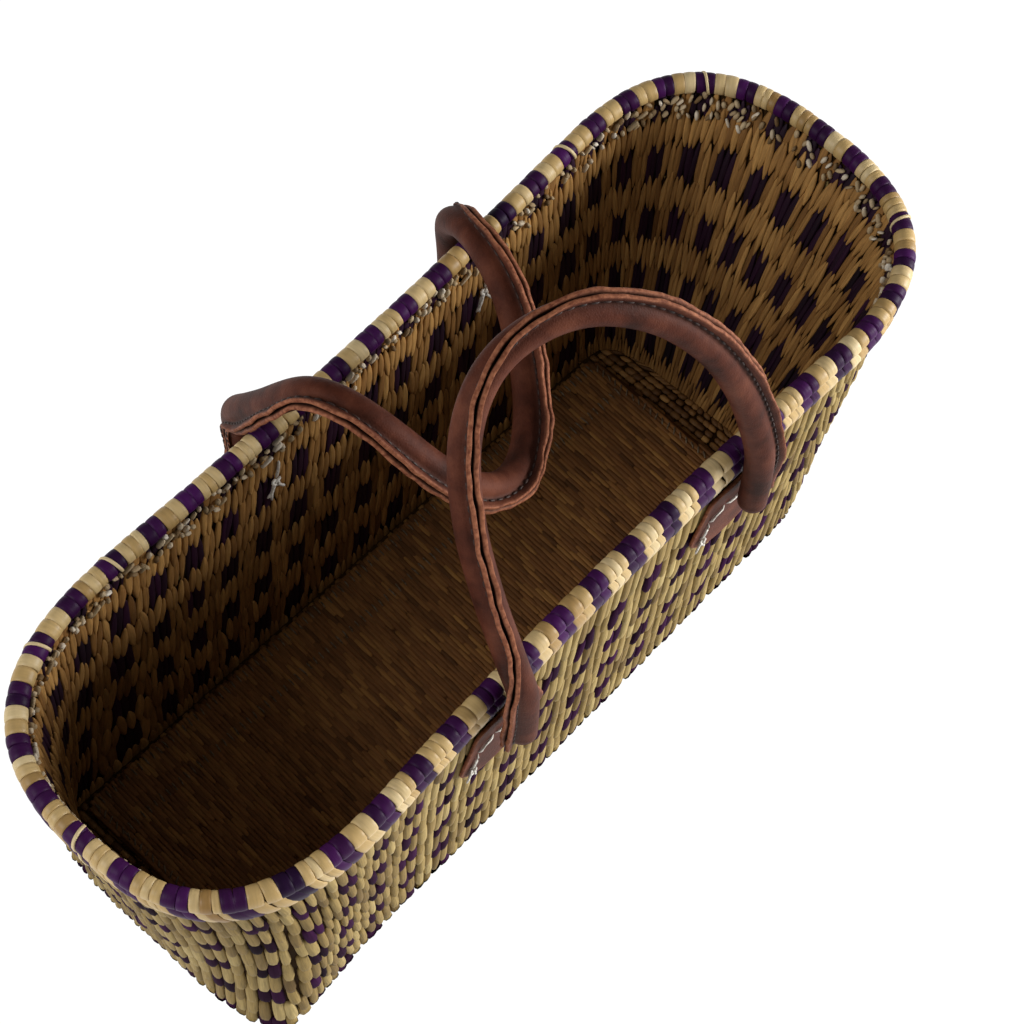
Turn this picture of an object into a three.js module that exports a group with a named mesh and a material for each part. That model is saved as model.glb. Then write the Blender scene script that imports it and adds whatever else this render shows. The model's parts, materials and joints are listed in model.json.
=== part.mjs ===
import * as THREE from "three";

// Seagrass basket bag: a long tapering basket with a bound rim, a loose floor mat and two rolled
// leather handles sewn on through leather tabs. Millimetres, Z up, X along the basket, -Y the near side.

// Rim centre line, seen from above: two rounded ends of different depth, long sides drawn in at the middle.
const rimHalfLength = 250;
const rimHalfWidth = 91.5;
const rimNearWaist = 12.3;
const rimFarWaist = 9.6;
const rimLeftEnd = 112;
const rimRightEnd = 92;
const rimRoundness = 2.54;
const rimHeight = 181;

// Wall centre line at the floor: shorter than the rim, set towards the left, narrower at its far right,
// with the near side drawn in past its left corner.
const baseHalfLength = 202;
const baseHalfWidth = 78.5;
const baseEnd = 29;
const baseRoundness = 4;
const baseShift = -23;
const baseTaper = 14;
const baseNearDraw = 4.8;
const baseNearRun = 80;

// Woven wall and base.
const wallThickness = 7;
const wallBelly = 1.07;
const footRound = 4;
const basePanelThickness = 6;

// Gap between pieces that lie against each other.
const clearance = 0.3;

// Bound rim: a rod bundle under a saddle of wrapped strip with an outer and an inner skirt.
const rimCoreRadius = 3.6;
const bindingThickness = 1.2;
const outerSkirt = 14;
const innerSkirt = 8;

// Floor mat and the thread along its edge.
const matThickness = 3;
const matEndGap = 20;
const matSideGap = 3;
const matCorner = 8;
const matThreadRadius = 0.7;
const matThreadInset = 4;

// Rolled leather handles: a rope core inside a folded strip, whose two edges make the seam flange.
const handleRadius = 8;
const leatherThickness = 2;
const flangeWidth = 5.5;
const foldSlit = 0.4;
const seamThreadRadius = 0.6;
const handleDrop = 36;
const leanRun = 20;

const frontHandle = {
  side: -1,
  centre: 9,
  halfWidth: 80.5,
  reach: 175,
  roundness: 2.17,
  drift: -0.07,
  lean: 0.2,
  fold: 0.82,
  foldStart: -5,
  foldEnd: 246,
  foldSkew: 47,
  flangeTurns: [[0, 0], [0.06, 0.1], [0.18, 1.2], [0.34, 1.3], [0.54, 0.55], [0.72, 0.55], [0.9, 0.3], [1, 0]],
};
const rearHandle = {
  side: 1,
  centre: 14.5,
  halfWidth: 72,
  reach: 175,
  roundness: 1.91,
  drift: -0.2,
  lean: 0.53,
  fold: 2.24,
  foldStart: 50,
  foldEnd: 140,
  foldSkew: -54,
  flangeTurns: [[0, 0.1], [0.12, 0.1], [0.36, 0.8], [0.48, 0.6], [0.62, 1.25], [0.84, 1.2], [0.94, 0.1], [1, 0]],
};

// Leather tabs under the handle ends, with their sewing thread outside and its tie-off inside the wall.
const tabThickness = 2;
const tabTopWidth = 38;
const tabWidth = 58;
const tabRise = 8;
const tabShoulder = 24;
const tabDrop = 44;
const tabThreadRadius = 0.8;
const tabThreadInset = 7;
const knotRadius = 2.4;
const tieLength = 28;

// Facet counts.
const endSteps = 9;
const sideSteps = 18;
const handleSteps = 36;
const roundSides = 12;
const threadSides = 5;

const { lerp, smoothstep } = THREE.MathUtils;
const wallHalf = wallThickness / 2;
const saddleSkirt = wallHalf + 2 * clearance;
const bindingOuter = saddleSkirt + bindingThickness;

// One quarter of a rounded end, from its tip to the long side, at even spacing.
class QuarterRound extends THREE.Curve {
  constructor(depth, width, power) {
    super();
    this.depth = depth;
    this.width = width;
    this.power = power;
  }

  getPoint(t, target = new THREE.Vector3()) {
    const angle = t * Math.PI / 2;
    const x = this.depth * Math.max(Math.cos(angle), 0) ** (2 / this.power);
    const y = this.width * Math.sin(angle) ** (2 / this.power);
    return target.set(x, y, 0);
  }
}

// A closed plan outline, anticlockwise from the near end of the right-hand round.
function planOutline(halfLength, halfWidth, leftEnd, rightEnd, roundness) {
  const right = new QuarterRound(rightEnd, halfWidth, roundness).getSpacedPoints(endSteps);
  const left = new QuarterRound(leftEnd, halfWidth, roundness).getSpacedPoints(endSteps);
  const rightX = halfLength - rightEnd;
  const leftX = leftEnd - halfLength;
  const ring = [];
  for (let i = endSteps; i > 0; i--) ring.push([rightX + right[i].x, -right[i].y]);
  for (let i = 0; i < endSteps; i++) ring.push([rightX + right[i].x, right[i].y]);
  for (let i = 0; i < sideSteps; i++) ring.push([lerp(rightX, leftX, i / sideSteps), halfWidth]);
  for (let i = endSteps; i > 0; i--) ring.push([leftX - left[i].x, left[i].y]);
  for (let i = 0; i < endSteps; i++) ring.push([leftX - left[i].x, -left[i].y]);
  for (let i = 0; i < sideSteps; i++) ring.push([lerp(leftX, rightX, i / sideSteps), -halfWidth]);
  return ring;
}

// The long sides of the rim are drawn in towards their middle.
function rimY(x, y) {
  const waist = y < 0 ? rimNearWaist : rimFarWaist;
  return y * (1 - (waist / rimHalfWidth) * (1 - (x / rimHalfLength) ** 2));
}

// The far side of the base runs inwards towards the right-hand end, the near side just past its left corner.
function baseY(x, y) {
  const fromLeft = x - baseShift + baseHalfLength;
  const far = baseTaper * fromLeft / (2 * baseHalfLength);
  const near = baseNearDraw * smoothstep(fromLeft, 0, baseNearRun);
  return y * (1 - (y > 0 ? far : near) / baseHalfWidth);
}

const rimPlan = planOutline(rimHalfLength, rimHalfWidth, rimLeftEnd, rimRightEnd, rimRoundness)
  .map(([x, y]) => [x, rimY(x, y)]);
const basePlan = planOutline(baseHalfLength, baseHalfWidth, baseEnd, baseEnd, baseRoundness)
  .map(([x, y]) => [x + baseShift, baseY(x + baseShift, y)]);
const ringCount = rimPlan.length;

// Middle of the wall's thickness: round position i, height v from floor (0) to rim centre (1).
function wallPoint(i, v) {
  const k = (i + ringCount) % ringCount;
  const f = v ** wallBelly;
  const x = lerp(basePlan[k][0], rimPlan[k][0], f);
  const y = lerp(basePlan[k][1], rimPlan[k][1], f);
  return new THREE.Vector3(x, y, v * rimHeight);
}

// Directions at a wall point: along the ring, up the wall, out of the wall, and out level with the floor.
function wallFrame(i, v) {
  const step = 0.02;
  const low = Math.max(v - step, 0);
  const high = Math.min(v + step, 1);
  const along = wallPoint(i + 1, v).sub(wallPoint(i - 1, v)).normalize();
  const up = wallPoint(i, high).sub(wallPoint(i, low)).normalize();
  const out = along.clone().cross(up).normalize();
  const level = new THREE.Vector3(along.y, -along.x, 0).normalize();
  return { along, up: out.clone().cross(along).normalize(), out, level };
}

// A point on a layer of the wall, offset from the middle of its thickness at the same height.
function wallLayer(i, v, offset) {
  const { out, level } = wallFrame(i, v);
  return wallPoint(i, v).addScaledVector(level, offset / out.dot(level));
}

// Middle of a long side's thickness as a distance from the middle plane.
function sideDistance(side, x, z) {
  const f = (z / rimHeight) ** wallBelly;
  const rimFrom = rimHalfLength - rimRightEnd;
  const rimTo = rimLeftEnd - rimHalfLength;
  const baseFrom = baseShift + baseHalfLength - baseEnd;
  const baseTo = baseShift + baseEnd - baseHalfLength;
  const from = lerp(baseFrom, rimFrom, f);
  const to = lerp(baseTo, rimTo, f);
  const t = (x - from) / (to - from);
  const atRim = rimY(lerp(rimFrom, rimTo, t), side * rimHalfWidth);
  const atBase = baseY(lerp(baseFrom, baseTo, t), side * baseHalfWidth);
  return Math.abs(lerp(atBase, atRim, f));
}

// A point that stands off a long side's outer face (positive) or inner face (negative).
function sidePoint(side, x, z, standOff) {
  const slope = sideDistance(side, x, z + 1) - sideDistance(side, x, z);
  const half = wallHalf * Math.hypot(1, slope);
  const offset = standOff > 0 ? half + standOff : standOff - half;
  return new THREE.Vector3(x, side * (sideDistance(side, x, z) + offset), z);
}

// Closed surface through rows of points: rows join in a loop, or end in flat caps.
function skin(rows, loop, fill = capTriangles) {
  const width = rows[0].length;
  const count = rows.length;
  const positions = rows.flatMap((row) => row.flatMap((p) => [p.x, p.y, p.z]));
  const index = [];
  const last = loop ? count : count - 1;
  for (let i = 0; i < last; i++) {
    const a = i * width;
    const b = ((i + 1) % count) * width;
    for (let j = 0; j < width; j++) {
      const k = (j + 1) % width;
      index.push(a + j, b + j, b + k);
      index.push(a + j, b + k, a + k);
    }
  }
  if (!loop) {
    const start = fill(rows[0]);
    const end = fill(rows[count - 1]);
    const top = (count - 1) * width;
    for (const [a, b, c] of start) index.push(a, b, c);
    for (const [a, b, c] of end) index.push(top + a, top + c, top + b);
  }
  return outward(positions, index);
}

// Triangles that fill one row, found in the row's own plane.
function capTriangles(row) {
  const origin = row[0];
  const normal = new THREE.Vector3();
  for (let j = 0; j < row.length; j++) {
    const a = row[j].clone().sub(origin);
    const b = row[(j + 1) % row.length].clone().sub(origin);
    normal.add(a.cross(b));
  }
  normal.normalize();
  const across = row[1].clone().sub(origin).projectOnPlane(normal).normalize();
  const up = normal.clone().cross(across);
  const flat = row.map((p) => {
    const d = p.clone().sub(origin);
    return new THREE.Vector2(d.dot(across), d.dot(up));
  });
  return THREE.ShapeUtils.triangulateShape(flat, []);
}

// Triangles that fill a plan outline in strips across its width, from the tip of its right-hand round.
function acrossTriangles(row) {
  const count = row.length;
  const at = (k) => (endSteps + k + count) % count;
  const triangles = [[at(-1), at(0), at(1)]];
  for (let k = 1; k < count / 2 - 1; k++) {
    triangles.push([at(-k), at(k), at(k + 1)]);
    triangles.push([at(-k), at(k + 1), at(-k - 1)]);
  }
  triangles.push([at(1 - count / 2), at(count / 2 - 1), at(count / 2)]);
  return triangles;
}

// Geometry whose faces all look outwards.
function outward(positions, index) {
  const point = (n) => new THREE.Vector3().fromArray(positions, n * 3);
  let volume = 0;
  for (let n = 0; n < index.length; n += 3) {
    volume += point(index[n]).dot(point(index[n + 1]).cross(point(index[n + 2])));
  }
  if (volume < 0) index.reverse();
  const geometry = new THREE.BufferGeometry();
  geometry.setAttribute("position", new THREE.Float32BufferAttribute(positions, 3));
  geometry.setIndex(index);
  return geometry;
}

// A flat plate between two heights with a plan outline.
function plate(outline, bottom, top) {
  const level = (z) => outline.map(([x, y]) => new THREE.Vector3(x, y, z));
  return skin([level(bottom), level(top)], false);
}

// Corners of a regular polygon in section coordinates.
function circle(radius, sides) {
  const points = [];
  for (let n = 0; n < sides; n++) {
    const angle = 2 * Math.PI * n / sides;
    points.push([radius * Math.cos(angle), radius * Math.sin(angle)]);
  }
  return points;
}

// Points of an arc in section coordinates.
function arc(radius, from, to, steps) {
  const points = [];
  for (let n = 0; n <= steps; n++) {
    const angle = lerp(from, to, n / steps);
    points.push([radius * Math.cos(angle), radius * Math.sin(angle)]);
  }
  return points;
}

// One section placed at a station: first coordinate along p, second along q.
function placed(section, { at, p, q }) {
  return section.map(([a, b]) => at.clone().addScaledVector(p, a).addScaledVector(q, b));
}

const group = new THREE.Group();

function add(name, geometry, color, roughness) {
  geometry.computeVertexNormals();
  const material = new THREE.MeshStandardMaterial({ color, roughness, metalness: 0 });
  const mesh = new THREE.Mesh(geometry, material);
  mesh.name = name;
  group.add(mesh);
}

const straw = "#b89a62";
const boundStrip = "#c2a468";
const rushBrown = "#5c4327";
const leatherBrown = "#6a4438";
const ropeTan = "#a98c5d";
const waxedWhite = "#e6e0d4";

// Woven wall: rounded foot, flaring sides, cut square to the wall just under the rim core.
const heights = [0.2, 0.4, 0.6, 0.8];
const outerEdge = 1 - outerSkirt / rimHeight;
const innerEdge = 1 - innerSkirt / rimHeight;
const wallRows = [];
for (let i = 0; i < ringCount; i++) {
  const foot = [0, 45, 90].map((degrees) => {
    const angle = degrees * Math.PI / 180;
    const z = footRound * (1 - Math.cos(angle));
    return wallLayer(i, z / rimHeight, wallHalf - footRound * (1 - Math.sin(angle)));
  });
  const { up, out } = wallFrame(i, 1);
  const top = wallPoint(i, 1).addScaledVector(up, -(rimCoreRadius + clearance));
  const topOuter = top.clone().addScaledVector(out, wallHalf);
  const topInner = top.clone().addScaledVector(out, -wallHalf);
  const outer = [...heights, outerEdge].map((v) => wallLayer(i, v, wallHalf));
  const inner = [0, basePanelThickness / rimHeight, ...heights, innerEdge].map((v) => wallLayer(i, v, -wallHalf));
  wallRows.push([...foot, ...outer, topOuter, topInner, ...inner.reverse()]);
}
add("woven_wall", skin(wallRows, true), straw, 0.8);

// Base panel inside the wall's foot, its edge as slanted as the wall.
const baseRows = [basePanelThickness / rimHeight, 0].map((v) => basePlan.map((_, i) => {
  const edge = wallLayer(i, v, -wallHalf);
  return edge.addScaledVector(wallFrame(i, v).level, -clearance);
}));
add("base_panel", skin(baseRows, false, acrossTriangles), straw, 0.85);

// Rim core and the saddle of binding strip over it.
const rimStations = [];
for (let i = 0; i < ringCount; i++) {
  const { up, out } = wallFrame(i, 1);
  rimStations.push({ at: wallPoint(i, 1), p: out, q: up });
}
const rimCore = circle(rimCoreRadius, 6);
add("rim_core", skin(rimStations.map((s) => placed(rimCore, s)), true), ropeTan, 0.8);

const saddleInner = rimCoreRadius + clearance;
const saddleRows = rimStations.map((station, i) => [
  wallLayer(i, outerEdge, bindingOuter),
  ...placed(arc(saddleInner + bindingThickness, 0, Math.PI, 8), station),
  wallLayer(i, innerEdge, -bindingOuter),
  wallLayer(i, innerEdge, -saddleSkirt),
  ...placed(arc(saddleInner, Math.PI, 0, 8), station),
  wallLayer(i, outerEdge, saddleSkirt),
]);
add("rim_binding", skin(saddleRows, true), boundStrip, 0.5);

// Floor mat: square ends short of the rounded base, sides along the wall, rounded corners.
function matOutline(inset) {
  const left = baseShift - baseHalfLength + matEndGap + inset;
  const right = baseShift + baseHalfLength - matEndGap - inset;
  const edge = wallHalf + clearance + matSideGap + inset;
  const corners = [
    [right, baseY(right, -baseHalfWidth) + edge, -Math.PI / 2],
    [right, baseY(right, baseHalfWidth) - edge, 0],
    [left, baseY(left, baseHalfWidth) - edge, Math.PI / 2],
    [left, baseY(left, -baseHalfWidth) + edge, Math.PI],
  ];
  return corners.flatMap(([x, y, from]) => {
    const cx = x - Math.sign(x - baseShift) * matCorner;
    const cy = y - Math.sign(y) * matCorner;
    return arc(matCorner, from, from + Math.PI / 2, 4).map(([a, b]) => [cx + a, cy + b]);
  });
}
const matBottom = basePanelThickness + clearance;
const matTop = matBottom + matThickness;
add("floor_mat", plate(matOutline(0), matBottom, matTop), rushBrown, 0.9);

// Thread sewn round the mat's edge.
const threadPlan = matOutline(matThreadInset);
const threadHeight = matTop + clearance + matThreadRadius;
const matThreadRows = threadPlan.map(([x, y], i) => {
  const [bx, by] = threadPlan[(i + 1) % threadPlan.length];
  const [ax, ay] = threadPlan[(i + threadPlan.length - 1) % threadPlan.length];
  const p = new THREE.Vector3(by - ay, ax - bx, 0).normalize();
  const at = new THREE.Vector3(x, y, threadHeight);
  return placed(circle(matThreadRadius, threadSides), { at, p, q: new THREE.Vector3(0, 0, 1) });
});
add("mat_edge_thread", skin(matThreadRows, true), waxedWhite, 0.7);

// Folded leather section: first coordinate points along the seam flange.
const flangeHalf = leatherThickness + foldSlit / 2;
const flangeTip = handleRadius + flangeWidth;
const innerRadius = handleRadius - leatherThickness;
const outerGap = Math.asin(flangeHalf / handleRadius);
const innerGap = Math.asin(foldSlit / 2 / innerRadius);
const sleeveSection = [
  [flangeTip, flangeHalf],
  ...arc(handleRadius, outerGap, 2 * Math.PI - outerGap, roundSides),
  [flangeTip, -flangeHalf],
  [flangeTip, -foldSlit / 2],
  ...arc(innerRadius, 2 * Math.PI - innerGap, innerGap, roundSides),
  [flangeTip, foldSlit / 2],
];
const ropeRadius = innerRadius * Math.cos(Math.PI / roundSides) - clearance;
const seamOut = handleRadius + seamThreadRadius + clearance;
const seamUp = flangeHalf + seamThreadRadius + clearance;
const seamSection = circle(seamThreadRadius, threadSides).map(([a, b]) => [a + seamOut, b + seamUp]);

// Height of the sewn ends, and how far out the straight legs stand to pass the bound rim.
const hingeHeight = rimHeight - handleDrop;
function legDistance({ side, centre, halfWidth }) {
  const distances = [-1, 1].map((end) => {
    const x = centre + end * halfWidth;
    const overTab = sideDistance(side, x, hingeHeight) + wallHalf + tabThickness + 2 * clearance;
    const pastRim = sideDistance(side, x, rimHeight) + bindingOuter + clearance;
    return Math.max(overTab, pastRim) + handleRadius;
  });
  return Math.max(...distances);
}

// Turn of the seam flange at a share of the way round a handle, eased between the places given for it.
function flangeTurn(turns, round) {
  const next = Math.max(1, turns.findIndex(([at]) => at >= round));
  const [from, before] = turns[next - 1];
  const [to, after] = turns[next];
  return before + (after - before) * smoothstep(round, from, to);
}

// Stations along a handle. Its loop is an arch drawn on a sheet that stands up outside the rim, then leans
// and folds over into the basket, sooner at one leg; the seam flange turns about the rope on its way round.
function handleStations(handle) {
  const { side, centre, halfWidth, reach, roundness, drift, lean, fold, foldStart, foldEnd, foldSkew } = handle;
  const distance = legDistance(handle);
  const bendAt = (s, across) => {
    const skew = foldSkew * across;
    const folded = s > 0 ? smoothstep(s, foldStart + skew, foldEnd + skew) : 0;
    return lean * smoothstep(s, 0, leanRun) + (fold - lean) * folded;
  };
  const sheetPoint = ([x, s, across]) => {
    if (s <= 0) return new THREE.Vector3(x, side * distance, rimHeight + s);
    const steps = 120;
    let inward = 0;
    let up = 0;
    for (let n = 0; n < steps; n++) {
      const bend = bendAt(s * (n + 0.5) / steps, across);
      inward += Math.sin(bend) * s / steps;
      up += Math.cos(bend) * s / steps;
    }
    return new THREE.Vector3(x, side * (distance - inward), rimHeight + up);
  };
  const drawn = [];
  const legCount = 40;
  const archCount = 600;
  for (let n = 0; n < legCount; n++) drawn.push([centre - halfWidth, -handleDrop * (1 - n / legCount), -1]);
  for (let n = 0; n <= archCount; n++) {
    const angle = Math.PI * (n / archCount - 0.5);
    const across = Math.sign(angle) * Math.abs(Math.sin(angle)) ** (2 / roundness);
    const along = reach * Math.max(Math.cos(angle), 0) ** (2 / roundness);
    drawn.push([centre + halfWidth * across + drift * along, along, across]);
  }
  for (let n = 1; n <= legCount; n++) drawn.push([centre + halfWidth, -handleDrop * n / legCount, 1]);
  const points = drawn.map(sheetPoint);
  const lengths = [0];
  for (let n = 1; n < points.length; n++) lengths.push(lengths[n - 1] + points[n].distanceTo(points[n - 1]));
  const total = lengths[lengths.length - 1];
  const stations = [];
  for (let k = 0; k <= handleSteps; k++) {
    const wanted = total * k / handleSteps;
    const found = lengths.findIndex((length) => length >= wanted - 1e-6);
    const n = found < 0 ? points.length - 1 : found;
    const before = Math.max(n - 4, 0);
    const after = Math.min(n + 4, points.length - 1);
    const tangent = points[after].clone().sub(points[before]).normalize();
    const bend = bendAt(drawn[n][1], drawn[n][2]);
    const outOfSheet = new THREE.Vector3(0, side * Math.cos(bend), Math.sin(bend));
    const outOfLoop = tangent.clone().cross(outOfSheet).multiplyScalar(side).normalize();
    const round = k / handleSteps;
    const turn = flangeTurn(handle.flangeTurns, round);
    const p = outOfLoop.multiplyScalar(Math.cos(turn)).addScaledVector(outOfSheet, Math.sin(turn));
    p.addScaledVector(tangent, -p.dot(tangent)).normalize();
    const q = tangent.clone().cross(p).multiplyScalar(side);
    stations.push({ at: points[n], p, q });
  }
  return stations;
}

// A plan of one tab in its own coordinates: straight top, flared sides, round lower edge.
function tabOutline() {
  const shape = new THREE.Shape();
  shape.moveTo(-tabTopWidth / 2, tabRise);
  shape.lineTo(-tabWidth / 2, -tabShoulder);
  shape.quadraticCurveTo(-tabWidth / 3, -tabDrop, 0, -tabDrop);
  shape.quadraticCurveTo(tabWidth / 3, -tabDrop, tabWidth / 2, -tabShoulder);
  shape.lineTo(tabTopWidth / 2, tabRise);
  return shape.getPoints(6);
}

// A round thread along a curve that lies on a long side of the wall, with a radius for each place.
function wallThread(side, curve, radiusAt, steps) {
  const points = curve.getSpacedPoints(steps);
  const rows = points.map((at, n) => {
    const tangent = points[Math.min(n + 1, steps)].clone().sub(points[Math.max(n - 1, 0)]).normalize();
    const p = new THREE.Vector3(0, side, 0).projectOnPlane(tangent).normalize();
    const q = tangent.clone().cross(p);
    return placed(circle(radiusAt(n / steps), threadSides), { at, p, q });
  });
  return skin(rows, false);
}

// Tab, sewing thread and tie-off at one handle end.
function addTab(name, side, x) {
  const outline = tabOutline();
  const face = (standOff) => outline.map((p) => sidePoint(side, x + p.x, hingeHeight + p.y, standOff));
  add(`${name}_tab`, skin([face(clearance), face(clearance + tabThickness)], false), leatherBrown, 0.6);

  const threadOff = tabThickness + 2 * clearance + tabThreadRadius;
  const sewn = [
    [tabWidth / 2 - tabThreadInset, -tabShoulder],
    [tabTopWidth / 2 - tabThreadInset / 2, -tabThreadInset],
    [0, -tabThreadInset],
    [tabThreadInset / 2 - tabTopWidth / 2, -tabThreadInset],
    [tabThreadInset - tabWidth / 2, -tabShoulder],
  ];
  const sewnCurve = new THREE.CatmullRomCurve3(
    sewn.map(([a, b]) => sidePoint(side, x + a, hingeHeight + b, threadOff)),
  );
  add(`${name}_tab_thread`, wallThread(side, sewnCurve, () => tabThreadRadius, 22), waxedWhite, 0.6);

  const radiusAt = (u) => tabThreadRadius + (knotRadius - tabThreadRadius) * Math.exp(-(((u - 0.5) / 0.12) ** 2));
  const tie = [];
  for (let n = 0; n <= 8; n++) {
    const drop = tieLength * (0.5 - n / 8);
    tie.push(sidePoint(side, x + drop / 4, hingeHeight + drop, -clearance - radiusAt(n / 8)));
  }
  add(`${name}_tie_off`, wallThread(side, new THREE.CatmullRomCurve3(tie), radiusAt, 14), waxedWhite, 0.6);
}

for (const [name, handle] of [["front", frontHandle], ["rear", rearHandle]]) {
  const stations = handleStations(handle);
  const sweep = (section) => skin(stations.map((station) => placed(section, station)), false);
  add(`${name}_handle_leather`, sweep(sleeveSection), leatherBrown, 0.55);
  add(`${name}_handle_rope`, sweep(circle(ropeRadius, 8)), ropeTan, 0.8);
  add(`${name}_handle_seam`, sweep(seamSection), "#3a231c", 0.6);
  addTab(`${name}_left`, handle.side, handle.centre - handle.halfWidth);
  addTab(`${name}_right`, handle.side, handle.centre + handle.halfWidth);
}

// Stand the part on the floor with its box centred.
const box = new THREE.Box3().setFromObject(group);
const middle = box.getCenter(new THREE.Vector3());
for (const mesh of group.children) mesh.geometry.translate(-middle.x, -middle.y, -box.min.z);

export default group;
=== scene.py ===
import json
import math

import bpy
import numpy as np
from mathutils import Matrix, Vector


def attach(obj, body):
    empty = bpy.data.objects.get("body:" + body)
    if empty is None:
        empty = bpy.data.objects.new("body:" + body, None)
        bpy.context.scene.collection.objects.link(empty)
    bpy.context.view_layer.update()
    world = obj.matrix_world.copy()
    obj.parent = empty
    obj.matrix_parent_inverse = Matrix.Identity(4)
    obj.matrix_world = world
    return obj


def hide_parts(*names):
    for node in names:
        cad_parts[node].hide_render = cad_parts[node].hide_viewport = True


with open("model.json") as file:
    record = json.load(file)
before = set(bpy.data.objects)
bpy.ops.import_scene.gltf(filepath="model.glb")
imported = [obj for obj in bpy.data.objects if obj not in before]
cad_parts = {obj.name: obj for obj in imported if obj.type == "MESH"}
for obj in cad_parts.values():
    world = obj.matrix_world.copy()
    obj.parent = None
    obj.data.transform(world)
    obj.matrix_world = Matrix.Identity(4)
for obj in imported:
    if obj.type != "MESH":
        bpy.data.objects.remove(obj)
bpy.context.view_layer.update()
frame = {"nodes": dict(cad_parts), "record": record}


# Camera high above the near left corner, looking down into the mouth through a long lens, which
# keeps the long sides almost parallel.
CAMERA_AT = (-0.46683, -0.40193, 1.3568)
CAMERA_RIGHT = (0.67593, -0.73641, 0.02849)
CAMERA_UP = (0.64967, 0.61367, 0.44870)
LENS_MM = 101.61

camera_data = bpy.data.cameras.new("camera")
camera_data.lens = LENS_MM
camera = bpy.data.objects.new("camera", camera_data)
camera_right = Vector(CAMERA_RIGHT).normalized()
camera_up = Vector(CAMERA_UP).normalized()
camera_axes = Matrix((camera_right, camera_up, camera_right.cross(camera_up))).transposed()
camera.matrix_world = Matrix.Translation(CAMERA_AT) @ camera_axes.to_4x4()
bpy.context.collection.objects.link(camera)
bpy.context.scene.camera = camera
bpy.context.scene.view_settings.view_transform = "Standard"


# Studio light: a softbox on the left, which reaches the right-hand inside wall and leaves the left of
# the floor in shade, a low one on the right for the near side, and a dim even surround.
SURROUND_STRENGTH = 0.22
AIM_HEIGHT = 0.1
SOFTBOXES = {
    "high_softbox": {"at": (-1.4, 0.45, 1.2), "size": 0.9, "watts": 17},
    "low_softbox": {"at": (1.3, -1.25, 0.45), "size": 0.7, "watts": 44},
}

world = bpy.data.worlds.new("studio")
world.use_nodes = True
surround = world.node_tree.nodes["Background"]
surround.inputs["Color"].default_value = (1, 1, 1, 1)
surround.inputs["Strength"].default_value = SURROUND_STRENGTH
bpy.context.scene.world = world
for name, box in SOFTBOXES.items():
    lamp = bpy.data.lights.new(name, "AREA")
    lamp.size = box["size"]
    lamp.energy = box["watts"]
    softbox = bpy.data.objects.new(name, lamp)
    softbox.location = box["at"]
    aim = Vector((0, 0, AIM_HEIGHT)) - softbox.location
    softbox.rotation_mode = "QUATERNION"
    softbox.rotation_quaternion = aim.to_track_quat("-Z", "Y")
    bpy.context.collection.objects.link(softbox)


# Floor: a studio table, one cast sheet of opal acrylic lit from below, so that the basket stands on it
# without a shadow.
FLOOR_HALF = 8.0
ACRYLIC_GREY = "5a5a5a"
TABLE_GLOW = 1.0


def linear(code):
    """Linear colour of an sRGB hex value."""
    parts = [int(code[n:n + 2], 16) / 255 for n in (0, 2, 4)]
    return [c / 12.92 if c <= 0.04045 else ((c + 0.055) / 1.055) ** 2.4 for c in parts] + [1.0]


def add_node(tree, kind, inputs, **settings):
    """One shader node with its settings; each input is a value or the socket that feeds it."""
    made = tree.nodes.new(kind)
    for setting, value in settings.items():
        setattr(made, setting, value)
    for socket, value in inputs.items():
        if isinstance(value, bpy.types.NodeSocket):
            tree.links.new(value, made.inputs[socket])
        else:
            made.inputs[socket].default_value = value
    return made


def new_material(name, values):
    """A material with its shader's own sockets set; gives the material, its tree and the shader."""
    material = bpy.data.materials.new(name)
    material.use_nodes = True
    shader = material.node_tree.nodes["Principled BSDF"]
    for socket, value in values.items():
        shader.inputs[socket].default_value = value
    return material, material.node_tree, shader


# Opal acrylic: matt, and evenly bright from the lamps under it.
acrylic, *_ = new_material("lit_acrylic", {
    "Base Color": linear(ACRYLIC_GREY),
    "Roughness": 0.9,
    "Specular IOR Level": 0.1,
    "Emission Color": linear("ffffff"),
    "Emission Strength": TABLE_GLOW,
})

floor_mesh = bpy.data.meshes.new("floor")
floor_corners = [(-1, -1), (1, -1), (1, 1), (-1, 1)]
floor_mesh.from_pydata([(x * FLOOR_HALF, y * FLOOR_HALF, 0) for x, y in floor_corners], [], [(0, 1, 2, 3)])
floor_mesh.materials.append(acrylic)
floor = bpy.data.objects.new("floor", floor_mesh)
bpy.context.collection.objects.link(floor)


# Lying rods: the hidden frame of the wall, bundles of seagrass stems laid one above another and held
# between the strips twined over them outside and inside. Sizes are in millimetres from here on.
MM = 0.001
FRAME_SHIFT = np.array([-0.03, -1.13, 0.0])
RIM_HALF_LENGTH = 250.0
RIM_HALF_WIDTH = 91.5
RIM_NEAR_WAIST = 12.3
RIM_FAR_WAIST = 9.6
RIM_ENDS = (112.0, 92.0)
RIM_ROUNDNESS = 2.54
RIM_HEIGHT = 181.0
BASE_HALF_LENGTH = 202.0
BASE_HALF_WIDTH = 78.5
BASE_END = 29.0
BASE_ROUNDNESS = 4.0
BASE_SHIFT = -23.0
BASE_TAPER = 14.0
BASE_NEAR_DRAW = 4.8
BASE_NEAR_RUN = 80.0
WALL_HALF = 3.5
WALL_BELLY = 1.07
END_STEPS = 60
SIDE_STEPS = 120
ROUND_SAMPLES = 801
CHECK_REPEATS = (13.8, 12.7, 13.1, 12.4)
REPEAT_MM = 23
ROD_PITCH = 17.0
ROD_OUTER = 1.2
ROD_INNER = -1.4
ROD_SWELL = 0.5
ROD_FOOT = 0.8
ROD_BELOW_RIM = 4
ROD_COLUMNS = 312
ROD_LEVELS = 44
ROD_TONE = 0.4
STREAK_LONG = 14


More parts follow.
